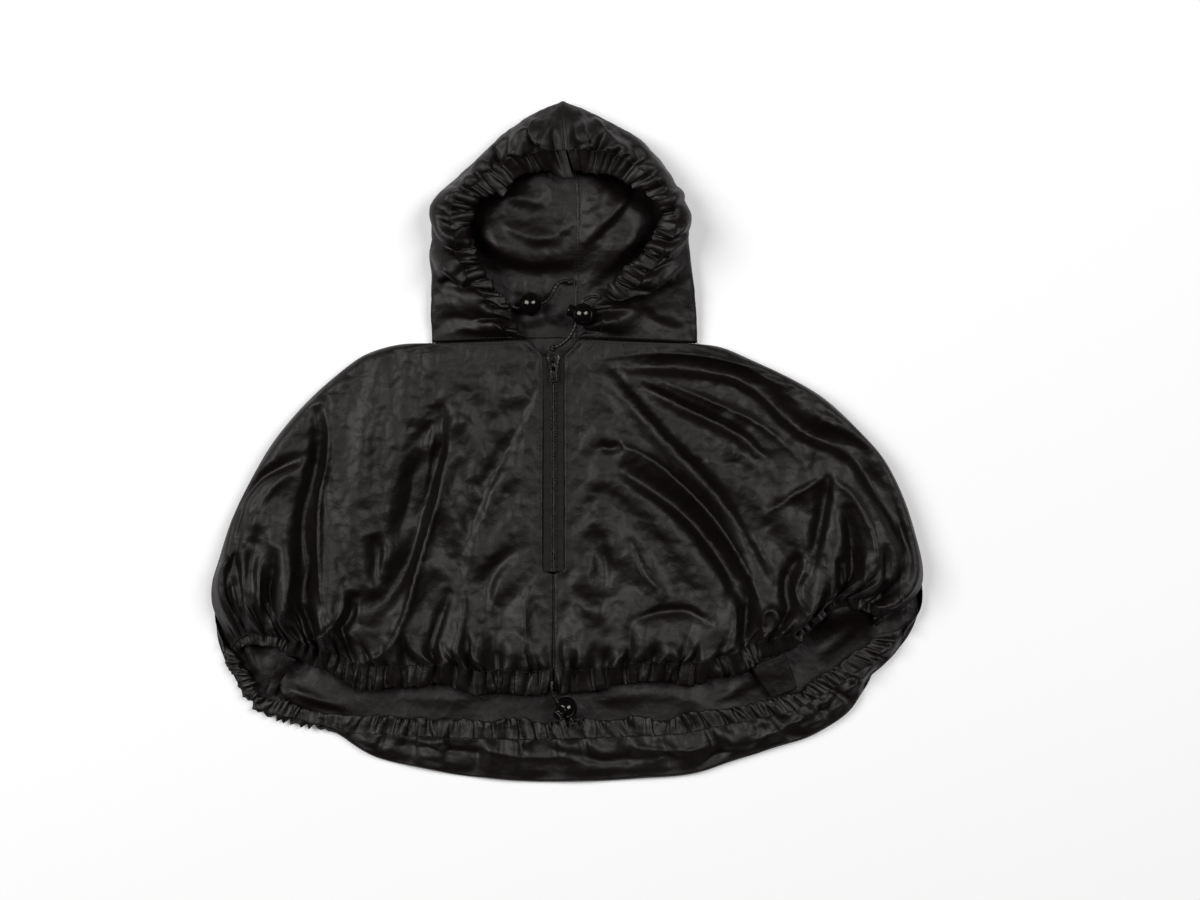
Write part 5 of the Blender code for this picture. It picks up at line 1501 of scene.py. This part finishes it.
def braided_cord(name, route, node):
    """Cord on a smooth curve through its route, with the lay of its braid in the surface."""
    fine = spline(route, np.linspace(0, len(route) - 1, 60 * (len(route) - 1)))
    path = even_path(fine, 0.36)
    s = run_length(path)[:, None]
    angles = np.linspace(0, 2 * math.pi, CORD_SIDES, endpoint=False)[None, :]
    around = BRAID_STRANDS * angles
    turn = BRAID_STRANDS * (2 * math.pi / BRAID_PITCH) * s / 2
    strands = np.maximum(np.cos(around + turn), np.cos(around - turn + 1.6))
    radii = CORD_RADIUS * (0.90 + 0.10 * strands)
    ends = np.minimum(s, s[-1] - s)
    radii = radii * np.sqrt(np.clip(ends / 0.9, 0.12, 1))
    piece = tube_piece(name, round_tube(path, radii, CORD_SIDES), CORD)
    return dress(piece, node), even_path(path, 1.5)


def cord_knot(name, route, node):
    """Overhand knot a little before the cord's end."""
    end, before = np.array(route[-1]), np.array(route[-2])
    direction = unit(end - before)
    centre = end - direction * KNOT_SETBACK
    t = np.linspace(0, 2 * math.pi, 90, endpoint=False)
    trefoil = np.column_stack([np.sin(t) + 2 * np.sin(2 * t), np.cos(t) - 2 * np.cos(2 * t),
                               -np.sin(3 * t)])
    first, second = frames_along(np.array([centre, centre + direction]))
    axes = np.array([first[0], second[0], direction])
    path = centre + (trefoil * KNOT_SCALE) @ axes
    closed = np.vstack([path, path[:2]])
    rings = round_tube(closed, KNOT_CORD_RADIUS, 12)[:-1]
    rings[-1] = rings[0] * 0.5 + rings[-1] * 0.5
    return dress(tube_piece(name, rings, CORD), node)


def turned(name, profile, segments, material, direction, centre, body="poncho"):
    """Solid of revolution: profile rows are (distance along the axis, radius)."""
    angles = np.linspace(0, 2 * math.pi, segments, endpoint=False)
    rings = np.array([[(r * math.cos(a), r * math.sin(a), h) for a in angles] for h, r in profile])
    turn = np.array(Vector(direction).to_track_quat("Z", "Y").to_matrix())
    return tube_piece(name, rings @ turn.T + np.array(centre), material, body)


def cut_with(piece, cutters):
    """Takes the cutters' shapes out of a piece, then drops them."""
    for cutter in cutters:
        boolean = piece.modifiers.new("cut", "BOOLEAN")
        boolean.operation = "DIFFERENCE"
        boolean.solver = "EXACT"
        boolean.object = cutter
    graph = bpy.context.evaluated_depsgraph_get()
    mesh = bpy.data.meshes.new_from_object(piece.evaluated_get(graph))
    piece.modifiers.clear()
    piece.data = mesh
    for cutter in cutters:
        bpy.data.objects.remove(cutter, do_unlink=True)
    mesh.shade_smooth()
    mesh.set_sharp_from_angle(angle=math.radians(35))


LOCK_CUT = 12.0           # half length of the tool that cuts a lock's hole


def ball_profile():
    """Half outline of the ball, from its closed end to its rimmed mouth."""
    mouth_angle = math.pi - math.acos(BALL_MOUTH / BALL_RADIUS)
    profile = [(-BALL_RADIUS * math.cos(a), BALL_RADIUS * abs(math.sin(a)))
               for a in np.linspace(math.radians(1), mouth_angle - 0.03, 40)]
    along, radius = profile[-1]
    return profile + [(along + 0.25, radius - 0.15), (along + 0.3, radius - 0.4)]


def plunger_profile():
    """Half outline of the plunger, with a rounded edge and a dished top."""
    top, radius = PLUNGER_TOP, PLUNGER_RADIUS
    edge = [(top - 1.0 + 1.0 * math.sin(a), radius - 1.0 + 1.0 * math.cos(a))
            for a in np.linspace(0, math.pi / 2, 8)]
    dish = [(top - 0.25, radius - 1.7), (top - 0.45, radius - 2.6), (top - 0.5, 0.05)]
    return [(-3.4, radius - 0.2), (-3.2, radius)] + edge + dish


def hole_cutter(name, radius, along, centre):
    return turned(name, [(-LOCK_CUT, radius), (LOCK_CUT, radius)], 32, None, along, centre)


def cord_lock(place, route, before, plunger_direction):
    """Glossy ball with a rimmed mouth, its sprung plunger, and one hole through both."""
    start, end = Vector(route[before]), Vector(route[before + 1])
    along = (end - start).normalized()
    axis = Vector(plunger_direction)
    axis = (axis - along * axis.dot(along)).normalized()
    hole_centre = (start + end) / 2
    centre = hole_centre - axis * HOLE_OFFSET
    ball = turned(f"ball_{place}", ball_profile(), 56, GLOSS_PLASTIC, axis, centre)
    bore = PLUNGER_RADIUS + 0.35
    socket = turned("cutter_a", [(-6.4, bore), (BALL_RADIUS + 2, bore)], 48, None, axis, centre)
    cut_with(ball, [socket, hole_cutter("cutter_b", HOLE_RADIUS, along, hole_centre)])
    dress(ball, f"lock_{place}")
    plunger = turned(f"button_{place}", plunger_profile(), 48, GLOSS_PLASTIC, axis, centre,
                     body=f"plunger_{place}")
    slot = [hole_cutter(name, HOLE_RADIUS + 0.15, along, hole_centre + axis * shift)
            for name, shift in (("cutter_c", 0.0), ("cutter_d", PLUNGER_TRAVEL))]
    cut_with(plunger, slot)
    dress(plunger, f"plunger_{place}")
    return ball, plunger


def seam_strip(name, line, half_width, height):
    """Narrow felled seam that covers the join of two panels along a line."""
    path = even_path(line, 1.5)
    left = np.column_stack([plan_across(path), 0 * path[:, 0]])
    rows = []
    for f in np.linspace(-1, 1, 7):
        wave = 0.2 * soft_noise(path[:, 0] + path[:, 1], path[:, 0] * 0 + f, 4.0, 3)
        row = path + left * (half_width * f)
        row[:, 2] += height * (1 - abs(f) ** 2.5) + wave
        rows.append(row)
    grid = np.array(rows)
    outward = np.sign(grid_normals(grid)[3, len(path) // 2, 2])
    dress(sheet_piece(name, grid, outward, NYLON))
    return grid, outward


def strap_piece(name, rows, seed):
    """Flat folded strap between the hems, a little bowed."""
    places = np.linspace(0, len(rows) - 1, 30)
    left, right = (spline([row[k] for row in rows], places) for k in (0, 1))
    f = np.linspace(0, 1, 14)[None, :, None]
    grid = left[:, None] * (1 - f) + right[:, None] * f
    grid[..., 2] += 0.5 * np.sin(math.pi * f[..., 0]) + 0.5 * soft_noise(grid[..., 0], grid[..., 1], 8, seed)
    outward = np.sign(grid_normals(grid)[10, 5, 2])
    dress(sheet_piece(name + "_cloth", grid, outward, NYLON, STRAP_THICKNESS), name)

# ---------------------------------------------------------------- building it


def make_cords():
    """The three drawcords, each with its lock and its knot."""
    for place, route, before, direction in LOCKS:
        cord, path = braided_cord(f"drawcord_{place}", route, f"cord_{place}")
        knot = cord_knot(f"end_knot_{place}", route, f"knot_{place}")
        ball, plunger = cord_lock(place, route, before, direction)


def narrower(hem):
    """The hem's table with the casing of the arm opening narrower, and level with its seam."""
    hem = np.array(hem)
    share = CUFF_NARROWER * smoothstep(np.arange(len(hem)), STRAP_ROW - 2, STRAP_ROW + 1)
    hem[:, 5] += (hem[:, 2] + 1.0 - hem[:, 5]) * share / CUFF_NARROWER
    hem[:, :2] += (hem[:, 3:5] - hem[:, :2]) * share[:, None]
    return hem


def make_fronts():
    """Both fronts with their hems and cuffs. Returns their grids."""
    made = {}
    for side_name, sign, side, hem, folds, reach, seed, tight in (
            ("left", -1, SIDE_LEFT, HEM_FRONT_LEFT, FOLDS_LEFT, (22.0, 50.0), 5, (215, 400, 4.6)),
            ("right", 1, SIDE_RIGHT, HEM_FRONT_RIGHT, FOLDS_RIGHT, (22.0, 52.0), 35, (205, 400, 4.6))):
        hem = narrower(hem)
        edge = spline(hem, np.linspace(0, len(hem) - 1, 300))[:, :3]
        gathers = Gathers(run_length(edge)[-1] + 12, 10.0, seed, (tight,))
        grid, hem_rows = front_panel(sign, side, hem, folds, gathers, reach, seed)
        dress(sheet_piece(f"front_{side_name}_cloth", grid, -sign, NYLON), f"front_{side_name}")
        parts = ((f"hem_front_{side_name}", 0, STRAP_ROW, 1.7, 2.4, 0.2),
                 (f"cuff_front_{side_name}", STRAP_ROW, len(hem) - 1, 2.3, 2.6, 0.8))
        casings_along(parts, hem, 3, grid[-1], hem_rows, gathers, 20)
        stitches(f"stitching_{side_name}_front", [
            line_from_edge(grid, -sign, edge_name, distance)
            for edge_name, distance in (("first_column", 2.2), ("first_row", 2.4), ("last_row", 1.4))])
        made[side_name] = grid
    return made


def make_back():
    """The back with its elastic hem in three stretches: left arm, middle and right arm."""
    edge = back_stitch(spline(HEM_BACK, np.linspace(0, len(HEM_BACK) - 1, 400)))
    length = run_length(edge)[-1]
    gathers = Gathers(length + 12, 9.0, 88, ((0, 130, 5.0), (length - 110, length + 12, 5.0)))
    grid, hem_rows = back_panel(FOLDS_BACK, FOLDS_BACK_INSIDE, gathers)
    outward = np.sign(grid_normals(grid)[-8, BACK_COLUMNS // 2, 2])
    dress(sheet_piece("back_cloth", grid, outward, NYLON), "back_panel")
    parts = (("cuff_back_left", 0, 5, 2.4, 4.6, 0.85), ("hem_back", 5, 17, 1.9, 2.6, 0.35),
             ("cuff_back_right", 17, len(HEM_BACK) - 1, 2.2, 2.8, 0.7))
    casings_along(parts, HEM_BACK, 3, grid[-1], hem_rows, gathers, 60)
    stitches("stitching_back", [line_from_edge(grid, outward, "last_row", 1.4)])


def make_hood():
    """Both halves of the hood with the casing round the face. Returns their grids."""
    made = {}
    for side_name, sign, sections, over, inside, seed in (
            ("left", -1, HOOD_LEFT, FOLDS_HOOD_LEFT, FOLDS_INSIDE_LEFT, 110),
            ("right", 1, HOOD_RIGHT, FOLDS_HOOD_RIGHT, FOLDS_INSIDE_RIGHT, 140)):
        edge = spline(sections, np.linspace(0, len(sections) - 1, 300))[:, 3:6]
        gathers = Gathers(run_length(edge)[-1] + 8, 10.5, seed)
        grid, numbers = hood_panel(sections, sign, over, inside, gathers, seed)
        outward = np.sign(grid_normals(grid)[HOOD_ROWS // 2, -5, 2])
        dress(sheet_piece(f"hood_{side_name}_cloth", grid, outward, NYLON), f"hood_{side_name}")
        parts = ((f"hood_casing_{side_name}", 0, len(sections) - 1, 2.2, 3.6, 0.25),)
        casings_along(parts, sections, 6, grid[:, -1], numbers, gathers, seed + 3)
        stitches(f"stitching_{side_name}_hood", [
            line_from_edge(grid, outward, "last_column", 1.4),
            part_of(line_from_edge(grid, outward, "first_row", 2.0), 0.5, 1.0),
            line_from_edge(grid, -outward, "first_column", 2.0),
            part_of(line_from_edge(grid, outward, "last_row", 1.8), 0.6, 1.0)])
        made[side_name] = grid
    return made


def centre_seam(fronts):
    """Seam that joins the fronts below the zip."""
    line = (fronts["left"][:, 0] + fronts["right"][:, 0]) / 2
    line = line[line[:, 1] < ZIP_BOTTOM - 2]
    line[:, 2] -= 0.5
    seam_strip("centre_seam", line, 1.6, 0.25)


def hood_seams(halves):
    """Seams that join the halves: over the crown, and down the back of the hood inside."""
    left, right = halves["left"], halves["right"]
    crown = (left[-1, FLOOR_COLUMNS:] + right[-1, FLOOR_COLUMNS:]) / 2
    crown[:, 2] = np.maximum(left[-1, FLOOR_COLUMNS:, 2], right[-1, FLOOR_COLUMNS:, 2])
    seam_strip("crown_seam", crown[6:], 1.5, 0.5)
    grid, outward = seam_strip("inner_hood_seam", (left[:, 0] + right[:, 0]) / 2, 1.6, 0.9)
    stitches("stitching_inner_seam", [line_from_edge(grid, outward, "first_row", 0.8)])


def neck_band():
    """Folded seam allowance across the back of the neck, inside the hood."""
    xs = np.linspace(*BAND_X, 60)
    rows = []
    for f in np.linspace(0, 1, 15):
        ys = BAND_Y + BAND_WIDTH * f + 0.3 * soft_noise(xs, xs * 0, 9.0, 6)
        puff = 0.7 * math.sin(math.pi * f) ** 0.7
        ripple = 0.35 * soft_noise(xs, xs * 0 + f * 5, 7.0, 4)
        rows.append(np.column_stack([xs, ys, 0.8 + puff + ripple]))
    grid = np.array(rows)
    dress(sheet_piece("neck_band", grid, np.sign(grid_normals(grid)[4, 30, 2]), NYLON))


PALE = (0.93, 0.93, 0.93)


def make_floor():
    """Pale paper under the garment, a little bright of itself."""
    mesh = bpy.data.meshes.new("floor")
    half = 3.0
    corners = [(-half, -half, 0), (half, -half, 0), (half, half, 0), (-half, half, 0)]
    mesh.from_pydata(corners, [], [(0, 1, 2, 3)])
    floor = bpy.data.objects.new("floor", mesh)
    floor.location = (0, 0, -0.0004)
    material, tree, shader = shader_of("paper", PALE, 0.9, 0.2)
    shader.inputs["Emission Color"].default_value = (1.0, 1.0, 1.0, 1.0)
    shader.inputs["Emission Strength"].default_value = 0.18
    bump_chain(tree, shader, [(noise_height(tree, 60.0, 3.0), 0.02, 0.001)])
    mesh.materials.append(material)
    SCENE.collection.objects.link(floor)


def make_softboxes():
    """Two large soft lights, one on each side."""
    for name, place, size, power in (
            ("key", (-2.2, 0.75, 2.7), 1.7, 88.0),
            ("fill", (1.75, 0.80, 3.1), 1.5, 66.0)):
        data = bpy.data.lights.new(name, "AREA")
        data.shape = "RECTANGLE"
        data.size = size
        data.size_y = size * 1.35
        data.energy = power
        lamp = bpy.data.objects.new(name, data)
        lamp.location = place
        lamp.rotation_euler = (-Vector(place)).to_track_quat("-Z", "Y").to_euler()
        SCENE.collection.objects.link(lamp)


def make_surround():
    """World that is pale where the camera sees it and dim as a light."""
    world = bpy.data.worlds.new("surround")
    world.use_nodes = True
    tree = world.node_tree
    dim = tree.nodes["Background"]
    dim.inputs["Color"].default_value = (1, 1, 1, 1)
    dim.inputs["Strength"].default_value = 0.012
    pale = add_node(tree, "ShaderNodeBackground")
    pale.inputs["Color"].default_value = (*PALE, 1)
    seen = add_node(tree, "ShaderNodeLightPath")
    mix = add_node(tree, "ShaderNodeMixShader")
    tree.links.new(seen.outputs["Is Camera Ray"], mix.inputs["Fac"])
    tree.links.new(dim.outputs["Background"], mix.inputs[1])
    tree.links.new(pale.outputs["Background"], mix.inputs[2])
    tree.links.new(mix.outputs["Shader"], tree.nodes["World Output"].inputs["Surface"])
    SCENE.world = world
    SCENE.view_settings.view_transform = "Standard"


make_cords()
front_grids = make_fronts()
make_back()
hood_grids = make_hood()
hood_seams(hood_grids)
neck_band()
centre_seam(front_grids)
for strap_name, strap_rows in STRAPS.items():
    strap_piece(strap_name, strap_rows, 7)
zip_tapes()
zip_coil()
zip_slider()
pull_tab()
make_floor()
make_softboxes()
make_surround()
